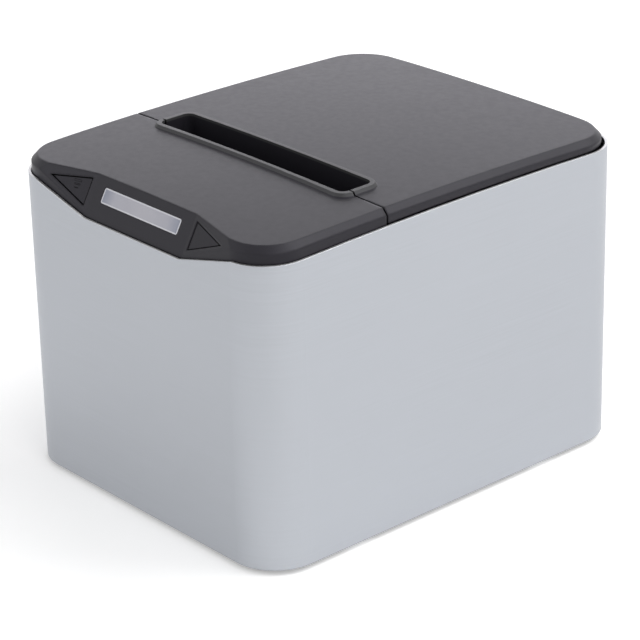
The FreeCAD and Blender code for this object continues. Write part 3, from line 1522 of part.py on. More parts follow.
def paper_bucket():
    outer_half = BUCKET_HALF + BUCKET_WALL
    rim = BUCKET_Z + BUCKET_RIM
    outer_radius = BUCKET_RADIUS + BUCKET_WALL
    outer = rod_x(outer_radius, -outer_half, outer_half, BUCKET_Y, BUCKET_Z)
    outer = outer.common(box(-BODY_WIDTH, BODY_WIDTH, -BODY_DEPTH, BODY_DEPTH, 0, BUCKET_Z))
    upper = box(-outer_half, outer_half, BUCKET_Y - outer_radius, BUCKET_Y + outer_radius, BUCKET_Z, rim)
    void = rod_x(BUCKET_RADIUS, -BUCKET_HALF, BUCKET_HALF, BUCKET_Y, BUCKET_Z)
    void = void.fuse(box(-BUCKET_HALF, BUCKET_HALF, BUCKET_Y - BUCKET_RADIUS, BUCKET_Y + BUCKET_RADIUS,
                         BUCKET_Z, rim + CUT_PAST))
    front = BUCKET_Y - outer_radius
    legs = [box(x - LEG_HALF, x + LEG_HALF, front, front + LEG_DEPTH, FLOOR, BUCKET_Z)
            for x in (-BUCKET_HALF + LEG_INSET, BUCKET_HALF - LEG_INSET)]
    ledge = box(-outer_half, outer_half, BUCKET_Y + BUCKET_RADIUS, CASE_HALF_Y - CASE_WALL,
                rim - 2 * BUCKET_WALL, rim - BUCKET_WALL)
    return fuse([outer, upper, ledge] + legs).cut(void)


def paper_end_sensor():
    """Reflective sensor on the outside of the bucket's right wall, near its floor."""
    x = BUCKET_HALF + BUCKET_WALL
    z = BUCKET_Z - BUCKET_RADIUS * END_SENSOR_DROP_SHARE
    return box(x, x + END_SENSOR_WIDTH, BUCKET_Y - END_SENSOR_HALF_DEPTH, BUCKET_Y + END_SENSOR_HALF_DEPTH,
               z - END_SENSOR_HALF_HEIGHT, z + END_SENSOR_HALF_HEIGHT)


def cover_sensor():
    """Small lever switch on the right side plate, under the lid's bush."""
    x = LATCH_X + PLATE + COVER_SENSOR_GAP
    back = PLATE_BACK - COVER_SENSOR_INSET
    top = latch_top() - COVER_SENSOR_DROP
    body = box(PLATE_X + PLATE, x + COVER_SENSOR_WIDTH, back - COVER_SENSOR_DEPTH, back,
               top - COVER_SENSOR_HEIGHT, top)
    key = box(x, x + LEVER_WIDTH, PLATE_BACK - LEVER_FRONT, PLATE_BACK - LEVER_BACK,
              top, top + LEVER_HEIGHT)
    return fuse([body, key])


# Electronics

def main_board():
    half = STANDOFF_HALF + BOARD_MARGIN
    board = box(-half, half, BOARD_FRONT, BACK - BOARD_BACK_GAP, BOARD_Z, BOARD_TOP)
    for x, y in standoff_places():
        board = board.cut(rod_z(SCREW_RADIUS + HOLE_PLAY, BOARD_Z - CUT_PAST, BOARD_TOP + CUT_PAST, x, y))
    return board


def board_screws():
    return [screw(x, y, BOARD_TOP, FLOOR - BOARD_SCREW_ROOT) for x, y in standoff_places()]


def board_chips():
    """Processor, memory, driver and two capacitors on the main board."""
    y = BOARD_FRONT + CHIP_ROW
    chips = [box(left, right, y + front, y + back, BOARD_TOP, BOARD_TOP + height)
             for left, right, front, back, height in CHIPS]
    chips += [rod_z(CAPACITOR_RADIUS, BOARD_TOP, BOARD_TOP + CAPACITOR_HEIGHT, x, y - CAPACITOR_LEAD)
              for x in (-CAPACITOR_SPREAD, CAPACITOR_SPREAD)]
    return chips


def socket_block(x, width, height, depth):
    return box(x - width / 2, x + width / 2, SOCKET_FACE - depth, SOCKET_FACE,
               BOARD_TOP, BOARD_TOP + height)


def socket_mouth(x, size, depth):
    width, height = size
    low = BOARD_TOP + SOCKET_SILL
    return box(x - width / 2, x + width / 2, SOCKET_FACE - depth, SOCKET_FACE + CUT_PAST,
               low, low + height)


def dc_inlet():
    """Round three-pin power socket."""
    z = BOARD_TOP + INLET_SIZE / 2
    block = socket_block(INLET_X, INLET_SIZE, INLET_SIZE, INLET_DEPTH)
    bore_end = SOCKET_FACE - INLET_BORE_DEPTH
    block = block.cut(rod_y(INLET_BORE_RADIUS, bore_end, SOCKET_FACE + CUT_PAST, INLET_X, z))
    pins = []
    for turn in (0, 120, 240):
        angle = math.radians(90 + turn)
        pins.append(rod_y(INLET_PIN_RADIUS, SOCKET_FACE - INLET_PIN_ROOT, SOCKET_FACE - INLET_PIN_TIP,
                          INLET_X + INLET_PIN_CIRCLE * math.cos(angle),
                          z + INLET_PIN_CIRCLE * math.sin(angle)))
    return fuse([block] + pins)


def usb_socket():
    block = socket_block(USB_X, USB_WIDTH, USB_HEIGHT, USB_DEPTH)
    tongue = box(USB_X - TONGUE_HALF, USB_X + TONGUE_HALF,
                 SOCKET_FACE - TONGUE_ROOT, SOCKET_FACE - TONGUE_TIP,
                 BOARD_TOP + TONGUE_LOW, BOARD_TOP + TONGUE_HIGH)
    return fuse([block.cut(socket_mouth(USB_X, USB_MOUTH, USB_MOUTH_DEPTH)), tongue])


def lan_socket():
    block = socket_block(LAN_X, LAN_WIDTH, LAN_HEIGHT, LAN_DEPTH)
    block = block.cut(socket_mouth(LAN_X, LAN_MOUTH, LAN_MOUTH_DEPTH))
    return block.cut(socket_mouth(LAN_X, LAN_KEYWAY, LAN_MOUTH_DEPTH))


def drawer_socket():
    block = socket_block(DRAWER_X, DRAWER_WIDTH, DRAWER_HEIGHT, DRAWER_DEPTH)
    block = block.cut(socket_mouth(DRAWER_X, DRAWER_MOUTH, DRAWER_MOUTH_DEPTH))
    return block.cut(socket_mouth(DRAWER_X, DRAWER_KEYWAY, DRAWER_MOUTH_DEPTH))


def rocker_place():
    return SOCKET_FACE - ROCKER_SETBACK, BOARD_TOP + SWITCH_TALL / 2 + SWITCH_RISE


def power_switch_body():
    y, z = rocker_place()
    low = z - SWITCH_TALL / 2
    half = SWITCH_WIDTH / 2
    body = box(SWITCH_X - half, SWITCH_X + half,
               SOCKET_FACE - SWITCH_DEPTH, SOCKET_FACE - SWITCH_FACE_SETBACK, low, low + SWITCH_TALL)
    half = ROCKER_WIDTH / 2 + ROCKER_END_GAP
    tall = ROCKER_HEIGHT / 2 + ROCKER_GAP
    body = body.cut(box(SWITCH_X - half, SWITCH_X + half, SOCKET_FACE - ROCKER_WELL, SOCKET_FACE,
                        z - tall, z + tall))
    legs = box(SWITCH_X - SWITCH_LEG_HALF, SWITCH_X + SWITCH_LEG_HALF, SOCKET_FACE - SWITCH_LEG_FRONT,
               SOCKET_FACE - SWITCH_LEG_BACK, BOARD_TOP, low + SWITCH_LEG_ROOT)
    body = fuse([body, legs])
    reach = ROCKER_HEIGHT / 2 + ROCKER_PIN_SEAT
    return body.cut(rod_z(ROCKER_RADIUS + RUNNING_GAP, z - reach, z + reach, SWITCH_X, y))


def power_rocker():
    """Rocker on an upright pin, tilted to its off side."""
    y, z = rocker_place()
    low = z - ROCKER_HEIGHT / 2
    high = z + ROCKER_HEIGHT / 2
    half = ROCKER_WIDTH / 2
    foot = half - ROCKER_TAPER
    outline = [(-half, y + ROCKER_TIP), (0, y + ROCKER_DIP), (half, y + ROCKER_TIP),
               (foot, y - ROCKER_ROOT), (-foot, y - ROCKER_ROOT)]
    corners = [Vector(SWITCH_X + x, place, low) for x, place in outline]
    face = Part.Face(Part.makePolygon(corners + corners[:1]))
    rocker = face.extrude(Vector(0, 0, ROCKER_HEIGHT))
    pin = rod_z(ROCKER_RADIUS, low - ROCKER_PIN_END, high + ROCKER_PIN_END, SWITCH_X, y)
    rocker = fuse([rocker, pin])
    rocker.rotate(Vector(SWITCH_X, y, z), Vector(0, 0, 1), -ROCKER_TILT)
    return rocker


def rear_plate():
    """Steel plate behind the window in the case, with an opening for each socket."""
    inner = CASE_HALF_Y - CASE_WALL
    half = REAR_WINDOW_HALF + REAR_PLATE_MARGIN
    plate = box(-half, half, inner - SHEET, inner, BOARD_TOP + REAR_PLATE_LIFT,
                REAR_WINDOW_HIGH + REAR_PLATE_ABOVE)
    grow = SOCKET_MARGIN
    for x, width, height in ((INLET_X, INLET_SIZE, INLET_SIZE), (USB_X, USB_WIDTH, USB_HEIGHT),
                             (LAN_X, LAN_WIDTH, LAN_HEIGHT), (DRAWER_X, DRAWER_WIDTH, DRAWER_HEIGHT)):
        plate = plate.cut(box(x - width / 2 - grow, x + width / 2 + grow, inner - 2 * SHEET, inner + SHEET,
                              BOARD_TOP, BOARD_TOP + height + grow))
    z = rocker_place()[1]
    half = SWITCH_WIDTH / 2 + grow
    plate = plate.cut(box(SWITCH_X - half, SWITCH_X + half, inner - 2 * SHEET, inner + SHEET,
                          z - SWITCH_TALL / 2 - grow, z + SWITCH_TALL / 2 + grow))
    return plate.common(case_space())


NODES = {
    "metal_sleeve": metal_sleeve,
    "inner_case": inner_case,
    "rubber_feet": rubber_feet,
    "case_screws": case_screws,
    "front_cover": front_cover,
    "front_cover_screws": front_cover_screws,
    "status_window": status_window,
    "light_guide": light_guide,
    "panel_board": panel_board,
    "feed_switch": feed_switch,
    "feed_button": feed_button,
    "open_button": open_button,
    "rear_cover": rear_cover,
    "hinge_brackets": lambda: both_sides(hinge_bracket),
    "hinge_pins": lambda: both_sides(hinge_pin),
    "platen_carrier": platen_carrier,
    "carrier_screws": carrier_screws,
    "fixed_blade": fixed_blade,
    "fixed_blade_screws": blade_screws,
    "platen_bushes": lambda: both_sides(platen_bush),
    "platen_roller": platen_roller,
    "platen_shaft": platen_shaft,
    "platen_gear": platen_gear,
    "reduction_gear": reduction_gear,
    "gear_stud": gear_stud,
    "motor_pinion": motor_pinion,
    "motor_shaft": motor_shaft,
    "feed_motor": feed_motor,
    "left_side_plate": lambda: side_plate(-1),
    "right_side_plate": lambda: side_plate(1),
    "chassis_screws": chassis_screws,
    "print_head": print_head,
    "head_heat_sink": head_heat_sink,
    "head_bracket": head_bracket,
    "head_rod": head_rod,
    "head_springs": head_springs,
    "spring_bar": spring_bar,
    "cutter_deck": cutter_deck,
    "cutter_blade": cutter_blade,
    "cutter_rack": cutter_rack,
    "cutter_pinion": cutter_pinion,
    "cutter_shaft": cutter_shaft,
    "cutter_motor": cutter_motor,
    "latch_slider": latch_slider,
    "latch_guides": latch_guides,
    "latch_spring": latch_spring,
    "paper_bucket": paper_bucket,
    "paper_end_sensor": paper_end_sensor,
    "cover_sensor": cover_sensor,
    "main_board": main_board,
    "board_chips": board_chips,
    "board_screws": board_screws,
    "rear_plate": rear_plate,
    "dc_inlet": dc_inlet,
    "usb_socket": usb_socket,
    "lan_socket": lan_socket,
    "drawer_socket": drawer_socket,
    "power_switch_body": power_switch_body,
    "power_rocker": power_rocker,
}

os.makedirs("parts", exist_ok=True)
for node, maker in NODES.items():
    made = maker()
    shape = Part.makeCompound(made) if isinstance(made, list) else made
    shape.exportStep("parts/" + node + ".step")
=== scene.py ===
"""Looks of a thermal receipt printer: materials, small raised details, light and camera.

Metres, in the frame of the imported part.
"""
import math

import bmesh
import bpy
from mathutils import Euler, Matrix, Vector


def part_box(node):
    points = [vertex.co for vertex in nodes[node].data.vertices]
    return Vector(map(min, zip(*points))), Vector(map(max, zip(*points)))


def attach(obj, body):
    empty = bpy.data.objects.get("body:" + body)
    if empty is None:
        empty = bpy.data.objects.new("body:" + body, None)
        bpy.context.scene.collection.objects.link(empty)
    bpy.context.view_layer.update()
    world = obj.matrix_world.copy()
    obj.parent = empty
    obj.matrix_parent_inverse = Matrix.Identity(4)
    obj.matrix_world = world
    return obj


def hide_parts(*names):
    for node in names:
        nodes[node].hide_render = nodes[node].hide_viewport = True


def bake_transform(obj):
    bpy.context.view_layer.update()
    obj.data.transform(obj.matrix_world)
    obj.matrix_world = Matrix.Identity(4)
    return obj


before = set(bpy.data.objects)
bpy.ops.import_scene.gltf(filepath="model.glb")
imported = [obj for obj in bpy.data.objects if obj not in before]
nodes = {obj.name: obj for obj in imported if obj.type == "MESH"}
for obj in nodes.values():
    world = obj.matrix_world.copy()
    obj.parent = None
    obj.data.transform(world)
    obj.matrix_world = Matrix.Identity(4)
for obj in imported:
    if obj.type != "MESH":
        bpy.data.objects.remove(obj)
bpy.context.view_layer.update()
scene = bpy.context.scene
scene.view_settings.view_transform = "Standard"

# The lid's dome, its paper slot, and how far above the dome the slot's rim begins
CREST_HEIGHT = 0.1225
DOME_RADIUS = 2.2
SLOT_MIDDLE = (0.0, -0.0275)
SLOT_REACH = (0.058, 0.013)
RIM_FOOT = 0.0002

# Colours
WHITE = (1.0, 1.0, 1.0)
BLACK = (0.0, 0.0, 0.0)
LID_COLOUR = (0.0155, 0.0145, 0.0185)
LID_SHEEN = (0.93, 0.92, 1.0)
# Painted highlight: the slot's raised rim is coloured lighter than the lid, where its top catches the light
RIM_PAINTED_HIGHLIGHT = (0.047, 0.047, 0.0485)
SLEEVE_COLOUR = (0.418, 0.434, 0.464)
# The sleeve's cut edge: bare metal, lightened further as a painted highlight
BARE_EDGE_AND_HIGHLIGHT = (0.6, 0.6, 0.61)
WINDOW_MIDDLE = (0.47, 0.465, 0.515)
WINDOW_SIDE = (0.43, 0.43, 0.49)
WINDOW_END = (0.24, 0.26, 0.34)
WINDOW_CLOUD = (0.53, 0.53, 0.57)
# Painted highlight along the window's rim
WINDOW_PAINTED_HIGHLIGHT = (0.66, 0.66, 0.71)
SOLDER = (0.55, 0.5, 0.36)
STEEL = (0.44, 0.44, 0.435)
BRIGHT = (0.68, 0.68, 0.69)
FLOOR_COLOUR = (0.9, 0.9, 0.9)

# Noise between these two values takes a pattern from its low end to its high end
NOISE_LOW = 0.3
NOISE_HIGH = 0.7

# Shares of open space around a point, deep in a hollow and out of it, between which the painted shade in
# slots and gaps fades out
HOLLOW_DEEP = 0.15
HOLLOW_OPEN = 0.7

# A face of the sleeve whose normal points up more than this is its cut edge, painted lighter as bare metal
# and as a painted highlight
EDGE_FACING = 0.6

# Width of the window's painted rim highlight, and the share of its half width beyond which it darkens faster
WINDOW_RIM = 0.0005
WINDOW_TURN = 0.7

# Copper tracks of the boards, and the soft edge of a plated hole, in cells of its pattern
TRACK_LENGTH = 0.011
TRACK_PITCH = 0.0021
TRACK_HALF_WIDTH = 0.0003
HOLE_EDGE = (0.09, 0.12)

# Polygons are one flat face where their normals agree this well and their heights this closely
SAME_WAY = 0.9999
LEVEL = 1e-5

# The faces looked for lean up more than this
LEANS_UP = 0.2


# Materials

class Surface:
    """A procedural material. Patterns are in the part's own metres, so they keep their real size."""

    def __init__(self, name, **constants):
        self.material = bpy.data.materials.new(name)
        self.material.use_nodes = True
        self.tree = self.material.node_tree
        self.shader = self.tree.nodes["Principled BSDF"]
        for socket, value in constants.items():
            self.shader.inputs[socket.replace("_", " ")].default_value = value
        self.place = self.add("ShaderNodeTexCoord").outputs["Object"]
        self.normal = None

    def add(self, kind, sources=(), **settings):
        """A new node. Sources go to its sockets; settings are constants of sockets, or options."""
        node = self.tree.nodes.new(kind)
        for name, value in settings.items():
            if name in node.inputs:
                node.inputs[name].default_value = value
            else:
                setattr(node, name, value)
        for socket, source in dict(sources).items():
            self.feed(node.inputs[socket], source)
        return node

    def feed(self, socket, source):
        """Links a socket to another one, or gives it a constant."""
        if isinstance(source, bpy.types.NodeSocket):
            self.tree.links.new(source, socket)
        else:
            socket.default_value = source

    def compute(self, operation, first, second=0.0):
        return self.add("ShaderNodeMath", {0: first, 1: second}, operation=operation).outputs[0]

    def axes(self, vector):
        return self.add("ShaderNodeSeparateXYZ", {"Vector": vector}).outputs

    def noise(self, scale, detail=2.0, stretch=(1.0, 1.0, 1.0)):
        mapping = self.add("ShaderNodeMapping", {"Vector": self.place}, Scale=stretch)
        texture = self.add("ShaderNodeTexNoise", {"Vector": mapping.outputs["Vector"]},
                           Scale=scale, Detail=detail)
        return texture.outputs["Fac"]

    def ramp(self, factor, *stops):
        node = self.add("ShaderNodeValToRGB", {"Fac": factor})
        elements = node.color_ramp.elements
        while len(elements) < len(stops):
            elements.new(0.5)
        for element, (position, colour) in zip(elements, stops):
            element.position = position
            element.color = (*colour, 1.0)
        return node.outputs["Color"]

    def tones(self, noise, colour, dark, pale):
        """The colour times dark where the noise is low, and times pale where it is high."""
        return self.ramp(noise, (NOISE_LOW, tint(colour, dark)), (NOISE_HIGH, tint(colour, pale)))

    def map_range(self, factor, low, high, start=0.0, end=1.0):
        """Goes from low to high while the factor goes from start to end."""
        sources = {"Value": factor, "From Min": start, "From Max": end, "To Min": low, "To Max": high}
        return self.add("ShaderNodeMapRange", sources).outputs["Result"]

    def spread(self, noise, low, high):
        return self.map_range(noise, low, high, NOISE_LOW, NOISE_HIGH)

    def mix(self, factor, first, second):
        """The first colour where the factor is 0, the second where it is 1."""
        node = self.add("ShaderNodeMix", {0: factor}, data_type="RGBA")
        for socket, source in ((node.inputs[6], first), (node.inputs[7], second)):
            self.feed(socket, (*source, 1.0) if isinstance(source, tuple) else source)
        return node.outputs[2]

    def colour(self, source):
        self.feed(self.shader.inputs["Base Color"], source)

    def rough(self, noise, middle, swing):
        self.feed(self.shader.inputs["Roughness"], self.spread(noise, middle - swing, middle + swing))

    def bump(self, height, distance, strength):
        """Adds relief whose height runs over distance."""
        sources = {"Height": height}
        if self.normal:
            sources["Normal"] = self.normal
        node = self.add("ShaderNodeBump", sources, Strength=strength, Distance=distance)
        self.normal = node.outputs["Normal"]
        self.feed(self.shader.inputs["Normal"], self.normal)

    def soften(self, radius, slot_radius=None):
        """Rounds the shading of sharp edges, by another radius around the slot. Comes before any bump."""
        bevel = self.add("ShaderNodeBevel", Radius=radius, samples=6)
        if slot_radius:
            self.feed(bevel.inputs["Radius"], self.map_range(self.near_slot(), radius, slot_radius))
        self.normal = bevel.outputs["Normal"]
        self.feed(self.shader.inputs["Normal"], self.normal)

    def near_slot(self):
        """1 above and below the paper slot and its rim, 0 elsewhere."""
        place = self.axes(self.place)
        inside = []
        for axis, middle, reach in zip("XY", SLOT_MIDDLE, SLOT_REACH):
            distance = self.compute("ABSOLUTE", self.compute("SUBTRACT", place[axis], middle))
            inside.append(self.compute("LESS_THAN", distance, reach))
        return self.compute("MULTIPLY", *inside)

    def painted_rim_highlight_mask(self):
        """Mask for a painted highlight: 1 on the raised rim of the paper slot, 0 on the lid below it."""
        centre = (0.0, 0.0, CREST_HEIGHT - DOME_RADIUS)
        reach = self.add("ShaderNodeVectorMath", {0: self.place, 1: centre}, operation="DISTANCE")
        return self.compute("GREATER_THAN", reach.outputs["Value"], DOME_RADIUS + RIM_FOOT)

    def painted_gap_shade(self, distance, low):
        """Mask for painted shade: 1 on open faces, falling to low deep in slots and gaps, where the colour
        is then painted darker.
        """
        shade = self.add("ShaderNodeAmbientOcclusion", Distance=distance, samples=8)
        return self.map_range(shade.outputs["AO"], low, 1.0, HOLLOW_DEEP, HOLLOW_OPEN)


def widest_face(node):
    """Middle, outward normal and uphill direction of a node's largest flat face, all in metres."""
    polygons = nodes[node].data.polygons

    def facing(normal):
        return [polygon for polygon in polygons if polygon.normal.dot(normal) > SAME_WAY]

    normals = [polygon.normal.copy() for polygon in polygons if polygon.normal.z > LEANS_UP]
    outward = max(normals, key=lambda normal: sum(polygon.area for polygon in facing(normal)))
    face = facing(outward)
    top = max(polygon.center.dot(outward) for polygon in face)
    face = [polygon for polygon in face if polygon.center.dot(outward) > top - LEVEL]
    area = sum(polygon.area for polygon in face)
    middle = sum((polygon.center * polygon.area for polygon in face), Vector()) / area
    across = Vector((0.0, 0.0, 1.0)).cross(outward).normalized()
    return middle, outward, outward.cross(across)


def tint(colour, factor):
    return tuple(min(1.0, channel * factor) for channel in colour)


def moulded(name, colour, rough, grain=1500.0, relief=0.00004, **constants):
    """Moulded plastic: spark-eroded texture, cloudy colour and slightly uneven gloss."""
    surface = Surface(name, **constants)
    cloud = surface.noise(scale=35.0, detail=3.0)
    surface.colour(surface.tones(cloud, colour, dark=0.88, pale=1.12))
    surface.rough(surface.noise(scale=180.0, detail=3.0), rough, swing=0.05)
    surface.bump(surface.noise(grain), relief, strength=0.6)
    return surface.material


def metal(name, colour, rough, stretch, grain=400.0):
    """Bare metal with a grain: stretch is small along the grain and 1 across it."""
    surface = Surface(name, Metallic=1.0)
    cloud = surface.noise(scale=25.0)
    streaks = surface.noise(grain, detail=4.0, stretch=stretch)
    base = surface.tones(streaks, colour, dark=0.93, pale=1.05)
    surface.colour(surface.mix(surface.spread(cloud, low=0.0, high=0.35), base, tint(colour, 0.92)))
    surface.rough(streaks, rough, swing=0.06)
    surface.bump(streaks, distance=0.00002, strength=0.5)
    return surface.material


def plated(name, colour, rough):
    """Zinc-plated steel: fine crystals, and a faint yellow and blue bloom."""
    surface = Surface(name, Metallic=1.0)
    bloom = surface.noise(scale=55.0, detail=3.0)
    red, green, blue = colour
    warm = (red * 1.06, green * 1.02, blue * 0.9)
    cool = (red * 0.94, green * 0.98, blue * 1.06)
    surface.colour(surface.ramp(bloom, (0.32, cool), (0.5, colour), (0.68, warm)))
    crystal = surface.noise(scale=900.0, detail=3.0)
    surface.rough(crystal, rough, swing=0.08)
    surface.bump(crystal, distance=0.00002, strength=0.4)
    return surface.material


def rubber(name, colour, rough):
    """Matt rubber with a little pale dust."""
    surface = Surface(name, Specular_IOR_Level=0.3)
    dust = surface.noise(scale=120.0, detail=5.0)
    surface.colour(surface.ramp(dust, (0.35, tint(colour, 0.85)), (0.62, colour), (0.75, tint(colour, 1.7))))
    surface.rough(surface.noise(scale=300.0), rough, swing=0.06)
    surface.bump(surface.noise(scale=1400.0, detail=3.0), distance=0.00005, strength=0.7)
    return surface.material


def laminate(name, colour):
    """Circuit board: solder mask over copper tracks, with plated holes."""
    surface = Surface(name, IOR=1.5)
    grid = {"Brick Width": TRACK_LENGTH, "Row Height": TRACK_PITCH, "Mortar Size": TRACK_HALF_WIDTH}
    tracks = surface.add("ShaderNodeTexBrick", {"Vector": surface.place, **grid},
                         offset=0.37, squash=1.7, Scale=1.0)
    cells = surface.add("ShaderNodeTexVoronoi", {"Vector": surface.place}, Scale=190.0)
    holes = surface.ramp(cells.outputs["Distance"], *zip(HOLE_EDGE, (WHITE, BLACK)))
    mask = surface.tones(surface.noise(scale=60.0), colour, dark=0.85, pale=1.15)
    masked = surface.mix(tracks.outputs["Fac"], mask, tint(colour, 1.7))
    surface.colour(surface.mix(holes, masked, SOLDER))
    surface.rough(surface.noise(scale=250.0), middle=0.385, swing=0.065)
    surface.bump(tracks.outputs["Fac"], distance=0.00004, strength=0.6)
    return surface.material


def brushed_sleeve():
    """Satin silver sheet, brushed level all the way round, with a cut edge that is painted lighter, partly
    as bare metal and partly as a painted highlight.
    """
    surface = Surface("sleeve_silver", Metallic=1.0)
    surface.soften(radius=0.0005)
    fine = surface.noise(scale=1.0, detail=3.0, stretch=(30.0, 30.0, 1500.0))
    broad = surface.noise(scale=1.0, stretch=(9.0, 9.0, 260.0))
    cloud = surface.noise(scale=14.0)
    streaks = surface.tones(fine, SLEEVE_COLOUR, dark=0.945, pale=1.045)
    bands = surface.mix(surface.spread(broad, low=0.0, high=0.5), streaks, tint(SLEEVE_COLOUR, 0.985))
    sheet = surface.mix(surface.spread(cloud, low=0.0, high=0.5), bands, tint(SLEEVE_COLOUR, 1.015))
    normal = surface.add("ShaderNodeNewGeometry").outputs["True Normal"]
    # The upward cut edge is painted lighter: partly bare cut metal, partly a painted highlight where light
    # catches the edge
    edge = surface.compute("GREATER_THAN", surface.axes(normal)["Z"], EDGE_FACING)
    surface.colour(surface.mix(edge, sheet, BARE_EDGE_AND_HIGHLIGHT))
    surface.rough(fine, middle=0.45, swing=0.05)
    surface.bump(fine, distance=0.000012, strength=0.5)
    return surface.material


def lid_plastic(name, gloss, radius, slot_radius=None):
    """Charcoal cover plastic: a fine even texture, a low satin sheen, painted shade that darkens its colour
    in slots and gaps, and a painted highlight that lightens the slot's raised rim.
    """
    surface = Surface(name, IOR=1.5, Specular_IOR_Level=gloss, Specular_Tint=(*LID_SHEEN, 1.0))
    surface.soften(radius, slot_radius)
    cloud = surface.noise(scale=22.0, detail=3.0)
    speck = surface.noise(scale=2600.0)
    tone = surface.tones(cloud, LID_COLOUR, dark=0.95, pale=1.05)
    tone = surface.mix(surface.spread(speck, low=0.0, high=0.4), tone, tint(LID_COLOUR, 1.2))
    # Painted highlight: the slot's raised rim gets a lighter colour
    tone = surface.mix(surface.painted_rim_highlight_mask(), tone, RIM_PAINTED_HIGHLIGHT)
    # Painted shade: deep in slots and gaps, where shade falls, the colour goes down to a fifth of the lid's
    # colour
    painted_shade_mask = surface.painted_gap_shade(distance=0.006, low=0.12)
    surface.colour(surface.mix(painted_shade_mask, tint(LID_COLOUR, 0.2), tone))
    surface.rough(surface.noise(scale=400.0), middle=0.4, swing=0.02)
    surface.bump(speck, distance=0.00002, strength=0.5)
    return surface.material


def window_plastic():
    """Frosted pale plastic, a little bluer and darker towards its ends, with a painted highlight along its
    rim.
    """
    surface = Surface("window_frosted", IOR=1.49)
    low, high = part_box("status_window")
    wide = (high.x - low.x) / 2
    across = surface.compute("ABSOLUTE", surface.axes(surface.place)["X"])
    share = surface.compute("DIVIDE", across, wide)
    cloud = surface.noise(scale=170.0, detail=3.0)
    body = surface.ramp(share, (0.0, WINDOW_MIDDLE), (WINDOW_TURN, WINDOW_SIDE), (1.0, WINDOW_END))
    body = surface.mix(surface.spread(cloud, low=0.0, high=0.22), body, WINDOW_CLOUD)
    middle, outward, uphill = widest_face("status_window")
    slope = surface.add("ShaderNodeVectorMath", {0: surface.place, 1: uphill}, operation="DOT_PRODUCT")
    height = surface.compute("SUBTRACT", slope.outputs["Value"], middle.dot(uphill))
    along = surface.compute("ABSOLUTE", height)
    offsets = [vertex.co - middle for vertex in nodes["status_window"].data.vertices]
    tall = max(abs(offset.dot(uphill)) for offset in offsets if abs(offset.dot(outward)) < LEVEL)
    # Painted highlight: a pale band along the window's rim, where its edges catch the light
    painted_rim_highlights = [surface.compute("GREATER_THAN", distance, half - WINDOW_RIM)
            for distance, half in ((across, wide), (along, tall))]
    surface.colour(surface.mix(surface.compute("MAXIMUM", *painted_rim_highlights), body, WINDOW_PAINTED_HIGHLIGHT))
    surface.rough(cloud, middle=0.35, swing=0.05)
    surface.bump(surface.noise(scale=1800.0), distance=0.000015, strength=0.4)
    return surface.material


materials = {
    "sleeve": brushed_sleeve(),
    "lid": lid_plastic("lid_charcoal", gloss=0.24, radius=0.0012, slot_radius=0.00025),
    "window": window_plastic(),
    "case": moulded("case_black", (0.022, 0.022, 0.024), rough=0.5),
    "inner": moulded("inner_black", (0.016, 0.016, 0.018), rough=0.55, grain=1100.0),
    "key": lid_plastic("key_charcoal", gloss=0.18, radius=0.0003),
    "socket": moulded("socket_black", (0.014, 0.014, 0.015), rough=0.38, grain=2400.0, relief=0.00002),
    "guide": moulded("guide_clear", (0.62, 0.64, 0.66), rough=0.2, grain=2600.0, relief=0.00001,
                     Transmission_Weight=0.6),
    "gear": moulded("gear_natural", (0.7, 0.68, 0.62), rough=0.4, grain=1600.0, relief=0.00002,
                    Subsurface_Weight=0.1),
    "bush": moulded("bush_ivory", (0.5, 0.47, 0.4), rough=0.45, grain=1600.0, relief=0.00002),
    "feet": rubber("foot_rubber", (0.02, 0.02, 0.02), rough=0.8),
    "platen": rubber("platen_rubber", (0.05, 0.05, 0.053), rough=0.6),
    "zinc": plated("zinc_plate", STEEL, rough=0.36),
    "screw": plated("screw_zinc", (0.6, 0.6, 0.58), rough=0.3),
    "shaft": metal("ground_steel", BRIGHT, rough=0.2, stretch=(1.0, 0.04, 0.04)),
    "upright": metal("turned_steel", BRIGHT, rough=0.2, stretch=(0.04, 0.04, 1.0)),
    "blade": metal("blade_steel", BRIGHT, rough=0.24, stretch=(0.04, 1.0, 1.0)),
    "spring": metal("spring_wire", (0.5, 0.5, 0.5), rough=0.25, stretch=(1.0, 1.0, 1.0), grain=700.0),
    "tin": metal("tinned_shell", (0.62, 0.62, 0.6), rough=0.28, stretch=(0.1, 1.0, 1.0)),
    "can": metal("motor_can", (0.36, 0.36, 0.37), rough=0.42, stretch=(0.1, 1.0, 1.0)),
    "sink": metal("extruded_aluminium", (0.66, 0.67, 0.68), rough=0.36, stretch=(0.02, 1.0, 1.0)),
    "board": laminate("board_green", (0.018, 0.11, 0.045)),
    "chip": moulded("chip_black", (0.018, 0.018, 0.019), rough=0.5, grain=3000.0, relief=0.00002),
    "head": moulded("head_ceramic", (0.09, 0.09, 0.085), rough=0.22, grain=2600.0, relief=0.00001),
}
